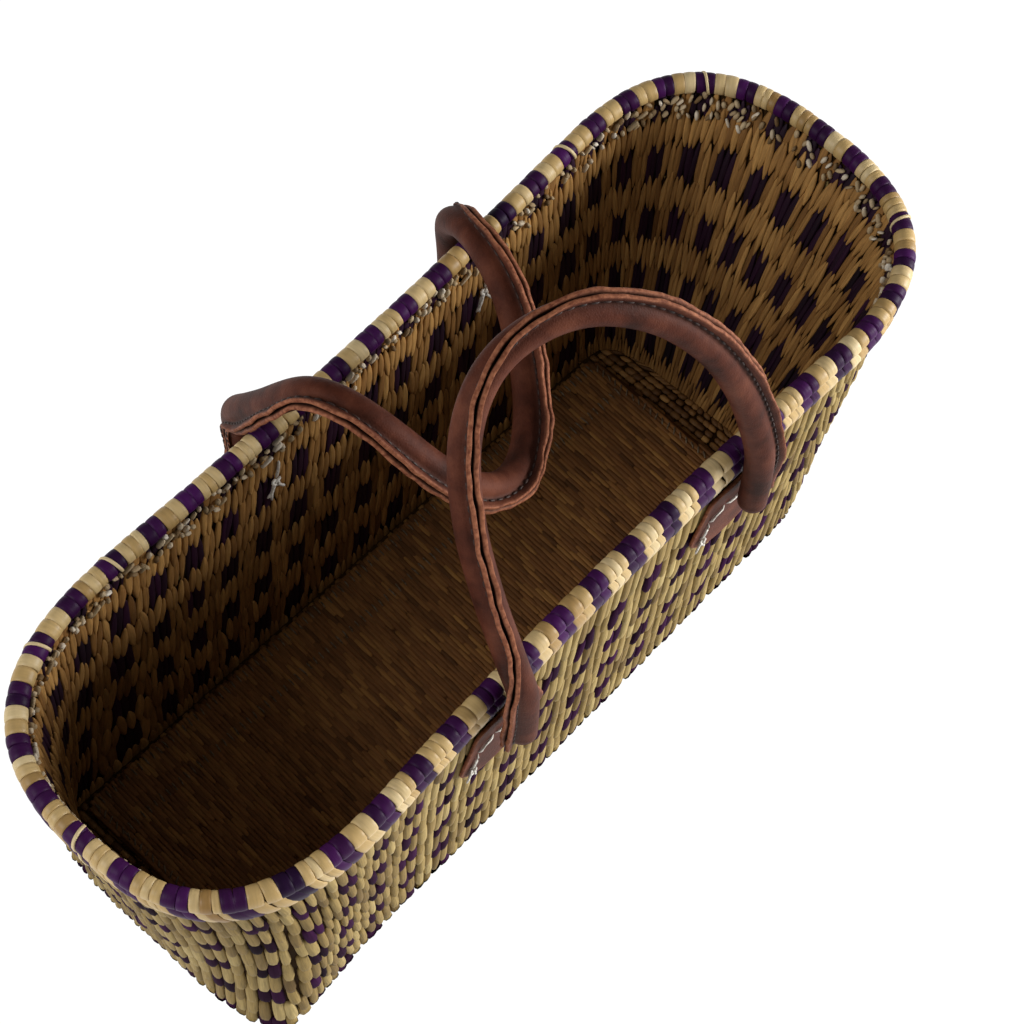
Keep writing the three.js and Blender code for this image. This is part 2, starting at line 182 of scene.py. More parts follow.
def smoothstep(x, low, high):
    """0 up to low and 1 from high on, eased between the two."""
    t = np.clip((np.asarray(x, float) - low) / (high - low), 0, 1)
    return t * t * (3 - 2 * t)


def unit(vectors):
    """The same directions at length 1."""
    return vectors / np.linalg.norm(vectors, axis=-1)[..., None]


def read_along(run, rows, wanted):
    """Rows of values read at any distance along their run."""
    return np.stack([np.interp(wanted, run, column) for column in rows.T], -1)


def quarter_round(depth, width, power):
    """A quarter of a rounded end from its tip to the long side, evenly spaced."""
    angle = np.linspace(0, math.pi / 2, ROUND_SAMPLES)
    x = depth * np.maximum(np.cos(angle), 0) ** (2 / power)
    y = width * np.sin(angle) ** (2 / power)
    run = np.r_[0, np.cumsum(np.hypot(np.diff(x), np.diff(y)))]
    wanted = np.linspace(0, run[-1], END_STEPS + 1)
    return np.interp(wanted, run, x), np.interp(wanted, run, y)


def plan_outline(half_length, half_width, left_end, right_end, roundness):
    """A closed plan, anticlockwise from the near end of the right-hand round."""
    rx, ry = quarter_round(right_end, half_width, roundness)
    lx, ly = quarter_round(left_end, half_width, roundness)
    right_x = half_length - right_end
    left_x = left_end - half_length
    side = np.linspace(right_x, left_x, SIDE_STEPS, endpoint=False)
    back_side = np.linspace(left_x, right_x, SIDE_STEPS, endpoint=False)
    x = [right_x + rx[:0:-1], right_x + rx[:-1], side, left_x - lx[:0:-1], left_x - lx[:-1], back_side]
    across = np.full(SIDE_STEPS, half_width)
    y = [-ry[:0:-1], ry[:-1], across, ly[:0:-1], -ly[:-1], -across]
    return np.concatenate(x), np.concatenate(y)


def base_y(x, y):
    """The far side of the base runs in towards the right, the near side just past its left corner."""
    from_left = x - BASE_SHIFT + BASE_HALF_LENGTH
    far = BASE_TAPER * from_left / (2 * BASE_HALF_LENGTH)
    near = BASE_NEAR_DRAW * smoothstep(from_left, 0, BASE_NEAR_RUN)
    return y * (1 - np.where(y > 0, far, near) / BASE_HALF_WIDTH)


def rim_y(x, y):
    """The long sides of the rim are drawn in towards their middle."""
    waist = np.where(y < 0, RIM_NEAR_WAIST, RIM_FAR_WAIST)
    return y * (1 - waist / RIM_HALF_WIDTH * (1 - (x / RIM_HALF_LENGTH) ** 2))


def outward(plan):
    """The direction straight out of a plan at each of its points."""
    along = np.roll(plan, -1, 0) - np.roll(plan, 1, 0)
    return unit(np.column_stack([along[:, 1], -along[:, 0]]))


rim_x, rim_across = plan_outline(RIM_HALF_LENGTH, RIM_HALF_WIDTH, *RIM_ENDS, RIM_ROUNDNESS)
rim_plan = np.column_stack([rim_x, rim_y(rim_x, rim_across)])
rim_out = outward(rim_plan)
base_x, base_across = plan_outline(BASE_HALF_LENGTH, BASE_HALF_WIDTH, BASE_END, BASE_END, BASE_ROUNDNESS)
base_x = base_x + BASE_SHIFT
base_plan = np.column_stack([base_x, base_y(base_x, base_across)])
base_out = outward(base_plan)

# Places round the ring, in steps, and the pattern repeats that are counted off between them.
RING = len(rim_plan)
FAR_SIDE = 2 * END_STEPS
LEFT_END = FAR_SIDE + SIDE_STEPS
LEFT_TIP = LEFT_END + END_STEPS
NEAR_SIDE = LEFT_TIP + END_STEPS
ring_marks = np.array([0, FAR_SIDE, LEFT_END, NEAR_SIDE, RING])
repeat_marks = np.r_[0, np.cumsum(CHECK_REPEATS)]
REPEATS = repeat_marks[-1]

# Place round the ring, and the steps by which a column's foot stands on from its head there.
COLUMN_FEET = (
    (0, 2.4),
    (END_STEPS, 0),
    (FAR_SIDE + 0.3 * SIDE_STEPS, 0),
    (FAR_SIDE + 0.68 * SIDE_STEPS, -6),
    (LEFT_END, -15),
    (LEFT_END + 0.5 * END_STEPS, -4),
    (LEFT_TIP, 0),
    (LEFT_TIP + 0.6 * END_STEPS, 24),
    (NEAR_SIDE, 20.2),
    (RING, 2.4),
)
foot_marks, foot_steps = np.array(COLUMN_FEET, float).T


def round_plan(plan, index):
    """Points of a plan at any place round the ring."""
    return read_along(np.arange(RING + 1), np.vstack([plan, plan[:1]]), np.asarray(index) % RING)


def wall_point(column, v, off):
    """A point of the wall: pattern repeat round the rim, height from floor (0) to rim (1), mm outwards.

    The columns follow the ring, except where they hang straight down: along the near side and
    towards the left of the far side.
    """
    column, v, off = np.broadcast_arrays(np.asarray(column, float), v, off)
    at_rim = np.interp(column % REPEATS, repeat_marks, ring_marks)
    up = np.maximum(v, 0) ** WALL_BELLY
    index = at_rim + np.interp(at_rim, foot_marks, foot_steps) * (1 - up)
    level = round_plan(base_plan, index) * (1 - up)[..., None] + round_plan(rim_plan, index) * up[..., None]
    out = round_plan(base_out, index) * (1 - up)[..., None] + round_plan(rim_out, index) * up[..., None]
    level = level + unit(out) * off[..., None]
    return np.concatenate([level, (v * RIM_HEIGHT)[..., None]], -1)


def add_piece(name, points, faces, material, body, slot, replaced=(), **attributes):
    """A smooth mesh from points in mm, with values stored at its points, riding on a body."""
    mesh = bpy.data.meshes.new(name)
    placed = (np.asarray(points, float).reshape(-1, 3) + FRAME_SHIFT) * MM
    mesh.from_pydata(placed.tolist(), [], faces)
    mesh.shade_smooth()
    for label, values in attributes.items():
        values = np.asarray(values, np.float32)
        kind = "FLOAT" if values.ndim == 1 else "FLOAT_VECTOR"
        stored = mesh.attributes.new(label, kind, "POINT")
        stored.data.foreach_set("value" if values.ndim == 1 else "vector", values.ravel())
    mesh.materials.append(material)
    piece = bpy.data.objects.new(name, mesh)
    bpy.context.collection.objects.link(piece)
    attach(piece, body)
    if replaced:
        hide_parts(*replaced)


def grid_faces(rows, width, loop_rows, loop_width):
    """Quads over a grid of points, joined round in either direction where asked."""
    faces = []
    for i in range(rows if loop_rows else rows - 1):
        a = i * width
        b = ((i + 1) % rows) * width
        for j in range(width if loop_width else width - 1):
            k = (j + 1) % width
            faces.append((a + j, b + j, b + k, a + k))
    return faces


def strip_material(name, dark, middle, pale, streak_mm, streak_range, values):
    """Dried leaf strip: each strip has its own tone, with streaks of fibre along it."""
    material, tree, shader = new_material(name, values)
    tone = add_node(tree, "ShaderNodeAttribute", {}, attribute_name="tone")
    ramp = add_node(tree, "ShaderNodeValToRGB", {"Fac": tone.outputs["Fac"]})
    ramp.color_ramp.elements[0].color = linear(dark)
    ramp.color_ramp.elements[1].color = linear(pale)
    ramp.color_ramp.elements.new(0.5).color = linear(middle)
    grain = add_node(tree, "ShaderNodeAttribute", {}, attribute_name="grain")
    drawn_out = (1 / streak_mm, 1 / (STREAK_LONG * streak_mm), 1)
    along = add_node(tree, "ShaderNodeVectorMath", {0: grain.outputs["Vector"], 1: drawn_out},
                     operation="MULTIPLY")
    fibre = add_node(tree, "ShaderNodeTexNoise", {
        "Vector": along.outputs["Vector"],
        "Scale": 1.0,
        "Detail": 3.0,
        "Roughness": 0.6,
    })
    streak = add_node(tree, "ShaderNodeMapRange", {
        "Value": fibre.outputs["Fac"],
        "From Min": 0.3,
        "From Max": 0.7,
        "To Min": streak_range[0],
        "To Max": streak_range[1],
    })
    colour = add_node(tree, "ShaderNodeVectorMath", {0: ramp.outputs["Color"], 1: streak.outputs["Result"]},
                      operation="MULTIPLY")
    tree.links.new(colour.outputs["Vector"], shader.inputs["Base Color"])
    bump = add_node(tree, "ShaderNodeBump", {
        "Strength": 0.45,
        "Distance": 0.0004,
        "Height": fibre.outputs["Fac"],
    })
    tree.links.new(bump.outputs["Normal"], shader.inputs["Normal"])
    return material


# Old stems between the strips, where the shade falls: dull dark brown as painted shade, almost without shine.
stem_painted_shade = strip_material("seagrass_stem_painted_shade", "20140a", "34220e", "4a3317", 1.2, (0.62, 1.12), {
    "Roughness": 0.9,
    "Specular IOR Level": 0.05,
})

rod_columns = np.arange(ROD_COLUMNS) * REPEATS / ROD_COLUMNS
rod_heights = np.linspace(ROD_FOOT, RIM_HEIGHT - ROD_BELOW_RIM, ROD_LEVELS)
swell = ROD_SWELL * np.cos(2 * math.pi * rod_heights / ROD_PITCH)
profile_z = np.r_[rod_heights, rod_heights[::-1]]
profile_off = np.r_[ROD_OUTER + swell, ROD_INNER - swell[::-1]]
rods = wall_point(rod_columns[:, None], profile_z / RIM_HEIGHT, profile_off)
along_rod, up_rod = np.meshgrid(rod_columns * REPEAT_MM, profile_z, indexing="ij")
add_piece(
    "lying_rods", rods, grid_faces(ROD_COLUMNS, len(profile_z), True, True), stem_painted_shade, "basket", "straw",
    tone=np.full(rods[..., 0].size, ROD_TONE),
    grain=np.stack([up_rod, along_rod, 0 * up_rod], -1).reshape(-1, 3),
)


# Outer strips: flat seagrass strips twined over the rods, each showing outside as one plump upright
# stitch that overlaps the one below like a scale. Pairs dyed purple make a check under the rim's.
STITCH_COLUMNS = 4
STITCH_ROWS = 10
STITCH_PITCH = 17.0
STITCH_WIDTH = 5.7
FIRST_CHECK = 136.0
STITCH_STAGGER = 1.3
STITCH_OFF = 1.5
STITCH_CROWN = 2.0
STITCH_TUCK = 0.95
STITCH_SLANT = 0.1
FAR_SLANT = 0.3
NEAR_SLANT = 1.1
SLANT_TURN = (-1, 2)
TOP_ROW_LONGER = 0.4
CHECK_SHORT = 0.82
CHECK_WIDE = 1.18
BETWEEN_LONG = 1.26
PLAIN_LONG = 1.12
FOOT_CLEAR = 0.25
NEAR_SAG = 17.0
SAG_STARTS = (-1, 5)
SAG_ENDS = (9, 1)
SAG_TOP = 170.0
SAG_FADE = 34.0
SAG_POWER = 0.75
GRAIN_APART = 7.3
UNEVEN_STITCH = {
    "level": 1.3, "slant": (0.5, 1.5), "column": 0.022, "width": (0.82, 1.06), "height": (0.86, 1.12),
    "crown": (0.7, 1.15), "tone": (0.5, 0.2),
}
NEAR_COLUMN = repeat_marks[3]
strip_random = np.random.default_rng(11)


def pillow(rings, sides, fullness, square):
    """A closed stitch from -1 to 1: across, along and out, with its faces turned outwards."""
    along = -np.cos(np.linspace(0, math.pi, rings + 2))
    width = (1 - np.abs(along[1:-1]) ** fullness) ** (1 / fullness)
    angle = 2 * math.pi * np.arange(sides) / sides
    across = np.sign(np.cos(angle)) * np.abs(np.cos(angle)) ** (2 / square)
    out = np.sign(np.sin(angle)) * np.abs(np.sin(angle)) ** (2 / square)
    body = np.stack([
        width[:, None] * across,
        along[1:-1, None] * np.ones(sides),
        np.sqrt(width)[:, None] * out,
    ], -1).reshape(-1, 3)
    points = np.vstack([body, [[0, -1, 0], [0, 1, 0]]])
    faces = grid_faces(rings, sides, False, True)
    low, high = len(body), len(body) + 1
    last = (rings - 1) * sides
    for j in range(sides):
        k = (j + 1) % sides
        faces.append((low, j, k))
        faces.append((high, last + k, last + j))
    return points, faces


def repeat_faces(faces, count, size):
    """The same faces for each of count copies of a shape with that many points."""
    return [tuple(n + copy * size for n in face) for copy in range(count) for face in faces]


def stitches(shape, column, height, half_width, half_height, off, crown, slant, tuck):
    """Copies of a stitch on the wall, from arrays of its places and sizes.

    The slant moves the lower end on round the wall, and the tuck draws the upper end in.
    """
    across, along, out = shape[:, 0], shape[:, 1], shape[:, 2]
    q = column[:, None] + half_width[:, None] * across - slant[:, None] * along
    z = np.clip(height[:, None] + half_height[:, None] * along, FOOT_CLEAR, RIM_HEIGHT)
    h = off + crown[:, None] * out - tuck * along
    return wall_point(q, z / RIM_HEIGHT, h)


def tones(random, middle, spread, count):
    """A tone for each strip, from dark (0) to pale (1)."""
    return np.clip(random.normal(middle, spread, count), 0, 1)


def add_strips(name, strip, made, material, slot, replaced, tone, width_mm, half_length):
    """Copies of one strip as a piece of the basket, each with its own tone and place in the grain."""
    shape, faces = strip
    along = half_length[:, None] * shape[:, 1]
    across = np.broadcast_to(shape[:, 0] * width_mm / 2, along.shape)
    own = np.broadcast_to(np.arange(len(made))[:, None] * GRAIN_APART, along.shape)
    add_piece(
        name, made, repeat_faces(faces, len(made), len(shape)), material, "basket", slot, replaced,
        tone=np.repeat(tone, len(shape)), grain=np.stack([across, along, own], -1).reshape(-1, 3),
    )


def near_sag(column, z):
    """How far the rows hang below level along the middle of the near side."""
    begun = smoothstep(column, NEAR_COLUMN + SAG_STARTS[0], NEAR_COLUMN + SAG_STARTS[1])
    place = begun * (1 - smoothstep(column, NEAR_COLUMN + SAG_ENDS[0], REPEATS + SAG_ENDS[1]))
    share = np.minimum((z / FIRST_CHECK) ** SAG_POWER, np.clip((SAG_TOP - z) / SAG_FADE, 0, 1))
    return NEAR_SAG * place * share


# Natural seagrass strip, split and dried: greyish straw with browner lengths, half matte.
seagrass = strip_material("dried_seagrass", "6a5430", "967e4b", "b39d68", 0.8, (0.68, 1.12), {
    "Roughness": 0.7,
    "Specular IOR Level": 0.15,
})
# The same strip dyed in a hot bath: deep plum, uneven where the dye took less.
dyed_seagrass = strip_material("purple_dyed_seagrass", "1a0716", "2b0d28", "3d163e", 0.8, (0.72, 1.1), {
    "Roughness": 0.8,
    "Specular IOR Level": 0.06,
})

stitch = pillow(rings=6, sides=8, fullness=3.4, square=2.6)
column_count = int(round(REPEATS * STITCH_COLUMNS))
row_levels = FIRST_CHECK + STITCH_PITCH * np.arange(1, 1 - STITCH_ROWS, -1)
row_number, column_number = np.meshgrid(np.arange(STITCH_ROWS), np.arange(column_count), indexing="ij")
row_number, column_number = row_number.ravel(), column_number.ravel()
stitch_column = (column_number + 0.5) / STITCH_COLUMNS
in_check_column = np.isin(column_number % STITCH_COLUMNS, (0, STITCH_COLUMNS - 1))
is_check = (row_number % 2 == 1) & in_check_column
stagger = STITCH_STAGGER * np.where(column_number % 2 == 0, 1, -1)
count = len(stitch_column)
level = row_levels[row_number] + stagger + strip_random.normal(0, UNEVEN_STITCH["level"], count)
level = level - near_sag(stitch_column, np.clip(level, 0, SAG_TOP))
on_near = smoothstep(stitch_column, NEAR_COLUMN + SLANT_TURN[0], NEAR_COLUMN + SLANT_TURN[1])
slant = STITCH_SLANT * (FAR_SLANT - NEAR_SLANT * on_near)
slant = slant * strip_random.uniform(*UNEVEN_STITCH["slant"], count)
stitch_column = stitch_column + strip_random.normal(0, UNEVEN_STITCH["column"], count)
half_width = 0.5 / STITCH_COLUMNS * strip_random.uniform(*UNEVEN_STITCH["width"], count)
half_height = STITCH_PITCH / 2 * strip_random.uniform(*UNEVEN_STITCH["height"], count)
half_height = half_height * np.where(row_number == 0, 1 + TOP_ROW_LONGER, 1)
plain_long = np.where(in_check_column, BETWEEN_LONG, PLAIN_LONG)
half_height = half_height * np.where(is_check, CHECK_SHORT, plain_long)
half_width = half_width * np.where(is_check, CHECK_WIDE, 1)
crown = STITCH_CROWN * strip_random.uniform(*UNEVEN_STITCH["crown"], count)
strip_tone = tones(strip_random, *UNEVEN_STITCH["tone"], count)
for name, chosen, material, replaced in (
    ("outer_strips", ~is_check, seagrass, ["woven_wall"]),
    ("outer_purple_strips", is_check, dyed_seagrass, []),
):
    made = stitches(
        stitch[0], stitch_column[chosen], level[chosen], half_width[chosen], half_height[chosen],
        STITCH_OFF, crown[chosen], slant[chosen], STITCH_TUCK,
    )
    add_strips(
        name, stitch, made, material, "straw", replaced,
        strip_tone[chosen], STITCH_WIDTH, half_height[chosen],
    )


# Inner strips: on the inside the same strips show as leaves over two rods, with raised bands of short
# leaves between their rows. The dyed ones make tall lozenges with ragged ends.
LEAF_COLUMNS = 6
LEAF_WIDE = 1.4
LEAF_WIDTH = 4.2
DYED_COLUMNS = (0, 1, 5)
LEAF_TONE = 0.36
PAINTED_SHADE_RISE = 0.3
# The bands of short leaves stand out and are painted paler: painted light on their raised ridges.
LEAF_KINDS = (
    {
        "rows": (137.0, 98.0, 60.0, 23.0),
        "half": 16.5, "shift": 0.0, "off": -2.4, "crown": 0.85, "painted_light": 0.0, "checked": True,
    },
    {
        "rows": (157.0, 117.5, 79.0, 41.5, 4.0),
        "half": 11.5, "shift": 0.5, "off": -2.9, "crown": 1.1, "painted_light": 0.12, "checked": False,
    },
    {
        "rows": (171.0,),
        "half": 8.5, "shift": 0.0, "off": -2.4, "crown": 0.8, "painted_light": 0.0, "checked": True,
    },
)
UNEVEN_LEAF = {
    "column": 0.016, "ragged": 1.3, "level": 1.4, "height": (0.85, 1.1), "width": (0.85, 1.1),
    "crown": (0.8, 1.05), "lean": 0.03, "tone": 0.17,
}
inner_random = np.random.default_rng(23)

# The inner face of the strip, never sunned or rubbed: browner. Duller towards the floor as painted shade of
# the deep inside.
inner_seagrass = strip_material("inner_face_seagrass", "5e3d1d", "926837", "c09254", 0.9, (0.62, 1.12), {
    "Roughness": 0.65,
    "Specular IOR Level": 0.25,
})
# The dyed strip's inner face: almost black, with a dull sheen along the fibre.
inner_dyed = strip_material("inner_face_purple_seagrass", "12050f", "200a1c", "300f2b", 0.9, (0.7, 1.1), {
    "Roughness": 0.6,
    "Specular IOR Level": 0.25,
})

leaf = pillow(rings=6, sides=6, fullness=1.5, square=2.2)
leaf_count = int(round(REPEATS * LEAF_COLUMNS))
number = np.arange(leaf_count)
ragged = UNEVEN_LEAF["ragged"] * np.where(number % 2 == 0, 1, -1)
is_dyed = np.isin(number % LEAF_COLUMNS, DYED_COLUMNS)
leaf_parts = {"inner_strips": [], "inner_purple_strips": []}
for kind in LEAF_KINDS:
    for z in kind["rows"]:
        column = (number + kind["shift"]) / LEAF_COLUMNS
        column = column + inner_random.normal(0, UNEVEN_LEAF["column"], leaf_count)
        height = z + ragged + inner_random.normal(0, UNEVEN_LEAF["level"], leaf_count)
        half_height = kind["half"] * inner_random.uniform(*UNEVEN_LEAF["height"], leaf_count)
        half_width = 0.5 / LEAF_COLUMNS * LEAF_WIDE * inner_random.uniform(*UNEVEN_LEAF["width"], leaf_count)
        crown = kind["crown"] * inner_random.uniform(*UNEVEN_LEAF["crown"], leaf_count)
        lean = inner_random.normal(0, UNEVEN_LEAF["lean"], leaf_count)
        # Painted shade: each row's tone falls towards the floor, deeper in the basket.
        row_tone_painted_light_and_shade = LEAF_TONE + PAINTED_SHADE_RISE * (z / RIM_HEIGHT) + kind["painted_light"]
        tone = tones(inner_random, row_tone_painted_light_and_shade, UNEVEN_LEAF["tone"], leaf_count)
        in_check = is_dyed & kind["checked"]
        for name, chosen in (("inner_strips", ~in_check), ("inner_purple_strips", in_check)):
            made = stitches(
                leaf[0], column[chosen], height[chosen], half_width[chosen], half_height[chosen],
                kind["off"], crown[chosen], lean[chosen], 0.0,
            )
            leaf_parts[name].append((made, tone[chosen], half_height[chosen]))
for name, material in (("inner_strips", inner_seagrass), ("inner_purple_strips", inner_dyed)):
    made, tone, half_height = (np.concatenate(parts) for parts in zip(*leaf_parts[name]))
    add_strips(name, leaf, made, material, "straw", [], tone, LEAF_WIDTH, half_height)


# Cut ends: where the strips are worked off under the rim their ends are snipped short inside, and the
# pale pith shows in uneven rows.
CUT_END_ROWS = (175.0, 170.5, 166.0)
CUT_END_KEPT = (0.7, 0.62, 0.45)
CUT_END_OFF = -4.2
CUT_END_TUCK = 0.5
CUT_END_WIDTH = 3.4
UNEVEN_END = {
    "place": (0.1, 0.9), "level": 1.5, "height": (1.4, 2.6), "width": (0.04, 0.075), "crown": (1.1, 1.9),
    "slant": 0.05, "tone": (0.42, 0.3),
}
cut_random = np.random.default_rng(31)

# Pith: dry and chalky, creamy white with brown hollows.
pith = strip_material("strip_pith", "7a6040", "c2ab86", "ece2d0", 0.8, (0.75, 1.1), {
    "Roughness": 0.8,
    "Specular IOR Level": 0.2,
})

cut_end = pillow(rings=4, sides=6, fullness=2.6, square=2.2)
cut_column, cut_height = [], []
for z, share in zip(CUT_END_ROWS, CUT_END_KEPT):
    place = (number + cut_random.uniform(*UNEVEN_END["place"], leaf_count)) / LEAF_COLUMNS
    kept = cut_random.random(leaf_count) < share
    cut_column.append(place[kept])
    cut_height.append(z + cut_random.normal(0, UNEVEN_END["level"], kept.sum()))
cut_column, cut_height = np.concatenate(cut_column), np.concatenate(cut_height)
count = len(cut_column)
half_height = cut_random.uniform(*UNEVEN_END["height"], count)
half_width = cut_random.uniform(*UNEVEN_END["width"], count)
crown = cut_random.uniform(*UNEVEN_END["crown"], count)
slant = cut_random.normal(0, UNEVEN_END["slant"], count)
made = stitches(
    cut_end[0], cut_column, cut_height, half_width, half_height, CUT_END_OFF, crown, slant, CUT_END_TUCK,
)
tone = tones(cut_random, *UNEVEN_END["tone"], count)
add_strips("cut_strip_ends", cut_end, made, pith, "straw", [], tone, CUT_END_WIDTH, half_height)


# Rim binding: a flat waxy strip lashed over the rod bundle in wraps laid side by side, two purple and
# two or three natural in turn. Each wrap ends outside in a plump tongue that leans to the right.
WRAP_RADIUS = 5.25
WRAP_STRIP = 1.5
WRAP_HALF_MM = 2.9
WRAP_STEP_MM = 2.4
WRAP_GRAIN_APART = 5.1
WRAP_OVERLAP = 1.02
WRAP_FROM, WRAP_TO, WRAP_STEPS = 222, -35, 13
PURPLE_SHARE = 0.46
PURPLE_WRAPS = 2
NATURAL_WRAPS = (2, 4)
PALE_LASHING_SHARE = 0.07
PALE_LASHING = {"place": (-0.1, 0.1), "half_width": 0.035, "tilt": 0.08, "plump": 1.1, "tone": 1.0}
TONGUE_LEAN = 0.15
TONGUE_LEAN_LEVELS = (178, 166)
TONGUE_SAG = 0.6
TONGUE_FLAT = 0.8
TONGUE_LEVELS = (176.6, 174.6, 171.5, 167.5, 163.0, 159.8, 158.4)
TONGUE_OFF = (3.2, 4.7, 5.8, 5.8, 5.1, 4.2, 3.2)
TONGUE_WIDTH = (0.85, 0.98, 1.06, 1.0, 0.88, 0.6, 0.2)
UNEVEN_WRAP = {"share": (0.8, 1.2), "tilt": (0.01, 0.015), "plump": (0.97, 1.03), "tone": (0.55, 0.24)}
wrap_random = np.random.default_rng(47)

# Binding strip: the leaf's waxy outer skin, smooth enough to catch a little light along each wrap.
binding_strip = strip_material("waxy_binding_strip", "96733f", "bfa068", "d6bf90", 1.4, (0.86, 1.06), {
    "Roughness": 0.48,
    "Specular IOR Level": 0.4,
})
# The same strip out of the dye bath, its wax boiled off: deep purple with less shine.
dyed_binding_strip = strip_material("purple_binding_strip", "20072a", "310b37", "441350", 1.4, (0.82, 1.08), {
    "Roughness": 0.5,
    "Specular IOR Level": 0.13,
})

wrap_across = np.array([-1.0, -0.9, -0.5, 0.0, 0.5, 0.9, 1.0, 0.9, -0.9])
wrap_crown = np.array([-0.6, -0.16, 0.0, 0.05, 0.0, -0.16, -0.6, -WRAP_STRIP, -WRAP_STRIP])
arc_angles = np.radians(np.linspace(WRAP_FROM, WRAP_TO, WRAP_STEPS))
path_size = len(arc_angles) + len(TONGUE_LEVELS)


def rim_wrap(column, half_width, tilt, plump):
    """One wrap: from under the inside of the rim over it and down the outside into its tongue."""
    rows = []
    across = column + half_width * wrap_across
    for angle in arc_angles:
        slide = tilt * (angle / math.pi - 0.5) * -2
        ring = wall_point(across + slide, 1.0, (WRAP_RADIUS * plump + wrap_crown) * math.cos(angle))
        ring[:, 2] += (WRAP_RADIUS * plump + wrap_crown) * math.sin(angle)
        rows.append(ring)
    for z, off, wide in zip(TONGUE_LEVELS, TONGUE_OFF, TONGUE_WIDTH):
        lean = TONGUE_LEAN * smoothstep(-z, -TONGUE_LEAN_LEVELS[0], -TONGUE_LEAN_LEVELS[1])
        narrow = column + tilt + lean + half_width * wide * wrap_across
        drop = near_sag(np.array(column), np.array(z)) * TONGUE_SAG
        rows.append(wall_point(narrow, (z - drop) / RIM_HEIGHT, off * plump + wrap_crown * TONGUE_FLAT))
    return np.concatenate(rows)


def tube_faces(rows, width):
    """Faces of a closed tube: quads round every row and a cap at either end."""
    faces = grid_faces(rows, width, False, True)
    faces.append(tuple(range(width)))
    faces.append(tuple((rows - 1) * width + n for n in range(width))[::-1])
    return faces


wrap_parts = {"natural": [], "purple": []}
for repeat in range(int(round(REPEATS))):
    for colour, start, share in (
        ("purple", repeat - PURPLE_SHARE / 2, PURPLE_SHARE),
        ("natural", repeat + PURPLE_SHARE / 2, 1 - PURPLE_SHARE),
    ):
        wraps = PURPLE_WRAPS if colour == "purple" else int(wrap_random.integers(*NATURAL_WRAPS))
        shares = wrap_random.uniform(*UNEVEN_WRAP["share"], wraps)
        edges = start + share * np.r_[0, np.cumsum(shares) / shares.sum()]
        for left, right in zip(edges[:-1], edges[1:]):
            tilt = wrap_random.normal(*UNEVEN_WRAP["tilt"])
            plump = wrap_random.uniform(*UNEVEN_WRAP["plump"])
            tone = float(np.clip(wrap_random.normal(*UNEVEN_WRAP["tone"]), 0, 1))
            wrap = rim_wrap((left + right) / 2, (right - left) / 2 * WRAP_OVERLAP, tilt, plump)
            wrap_parts[colour].append((wrap, tone))
        if colour == "purple" and wrap_random.random() < PALE_LASHING_SHARE:
            place = repeat + wrap_random.uniform(*PALE_LASHING["place"])
            over = rim_wrap(place, PALE_LASHING["half_width"], PALE_LASHING["tilt"], PALE_LASHING["plump"])
            wrap_parts["natural"].append((over, PALE_LASHING["tone"]))
wrap_width = len(wrap_across)
wrap_run = np.repeat(np.arange(path_size) * WRAP_STEP_MM, wrap_width)
for colour, name, material, replaced in (
    ("natural", "rim_wraps", binding_strip, ["rim_binding"]),
    ("purple", "rim_purple_wraps", dyed_binding_strip, []),
):
    made = np.stack([part[0] for part in wrap_parts[colour]])
    count, size = made.shape[:2]
    own = np.repeat(np.arange(count) * WRAP_GRAIN_APART, size)
    across = np.tile(wrap_across * WRAP_HALF_MM, path_size * count)
    faces = repeat_faces(tube_faces(path_size, wrap_width), count, size)
    add_piece(
        name, made, faces, material, "basket", "bound_strip", replaced,
        tone=np.repeat([part[1] for part in wrap_parts[colour]], size),
        grain=np.stack([across, np.tile(wrap_run, count), own], -1),
    )


# Rim core: the bundle of dry stems, twisted together like a rope, that makes the rim round. The binding
# is lashed over it, so it shows only between the wraps.
MM_IN_M = 1000
STEM_LAY_MM = 6.0
LAY_STRETCH = 20

# Twisted stems: slanting light and dark bands, dry and rough. The wave node draws them about 44 mm apart
# at this stretch, seven times as coarse as the real lay.
stem_bundle, tree, shader = new_material("bundled_stems", {"Roughness": 0.85, "Specular IOR Level": 0.2})
place = add_node(tree, "ShaderNodeTexCoord", {})
lay = add_node(tree, "ShaderNodeTexWave", {
    "Vector": place.outputs["Object"],
    "Scale": MM_IN_M / STEM_LAY_MM / LAY_STRETCH,
    "Distortion": 2.0,
    "Detail": 2.0,
}, bands_direction="DIAGONAL")
ramp = add_node(tree, "ShaderNodeValToRGB", {"Fac": lay.outputs["Fac"]})
ramp.color_ramp.elements[0].color = linear("3c2b16")
ramp.color_ramp.elements[1].color = linear("7d6338")
tree.links.new(ramp.outputs["Color"], shader.inputs["Base Color"])
bump = add_node(tree, "ShaderNodeBump", {
    "Strength": 0.6,
    "Distance": 0.0008,
    "Height": lay.outputs["Fac"],
})
tree.links.new(bump.outputs["Normal"], shader.inputs["Normal"])

frame["nodes"]["rim_core"].data.materials.clear()
frame["nodes"]["rim_core"].data.materials.append(stem_bundle)


# Base: rods laid lengthwise inside the foot of the wall, with strips twined across them. It shows
# beyond the right-hand end of the mat and from below.
BASE_THICKNESS = 6.0
BASE_STRIP_WIDTH = 3.8
BASE_STRIP_HALF = 3.8
BASE_STRIP_SEAT = 1.15
BASE_STRIP_CROWN = 1.1
BASE_STRIP_PAST = 1
BASE_ROWS = 24
BASE_STAGGER = 0.15
BASE_EDGE = 4.4
BASE_CORE = (1.5, 4.5)
CORE_EDGE = 1.7
CORE_TONE = 1.0
LENGTHWISE = (0.1, 1, 1)
UNEVEN_BASE = {"width": (0.9, 1.3), "length": (0.9, 1.5), "place": 0.16, "tone": (0.25, 0.28)}
base_random = np.random.default_rng(59)

near_part = base_plan[base_plan[:, 1] < 0]
far_part = base_plan[base_plan[:, 1] > 0]
near_part = near_part[np.argsort(near_part[:, 0])]
far_part = far_part[np.argsort(far_part[:, 0])]


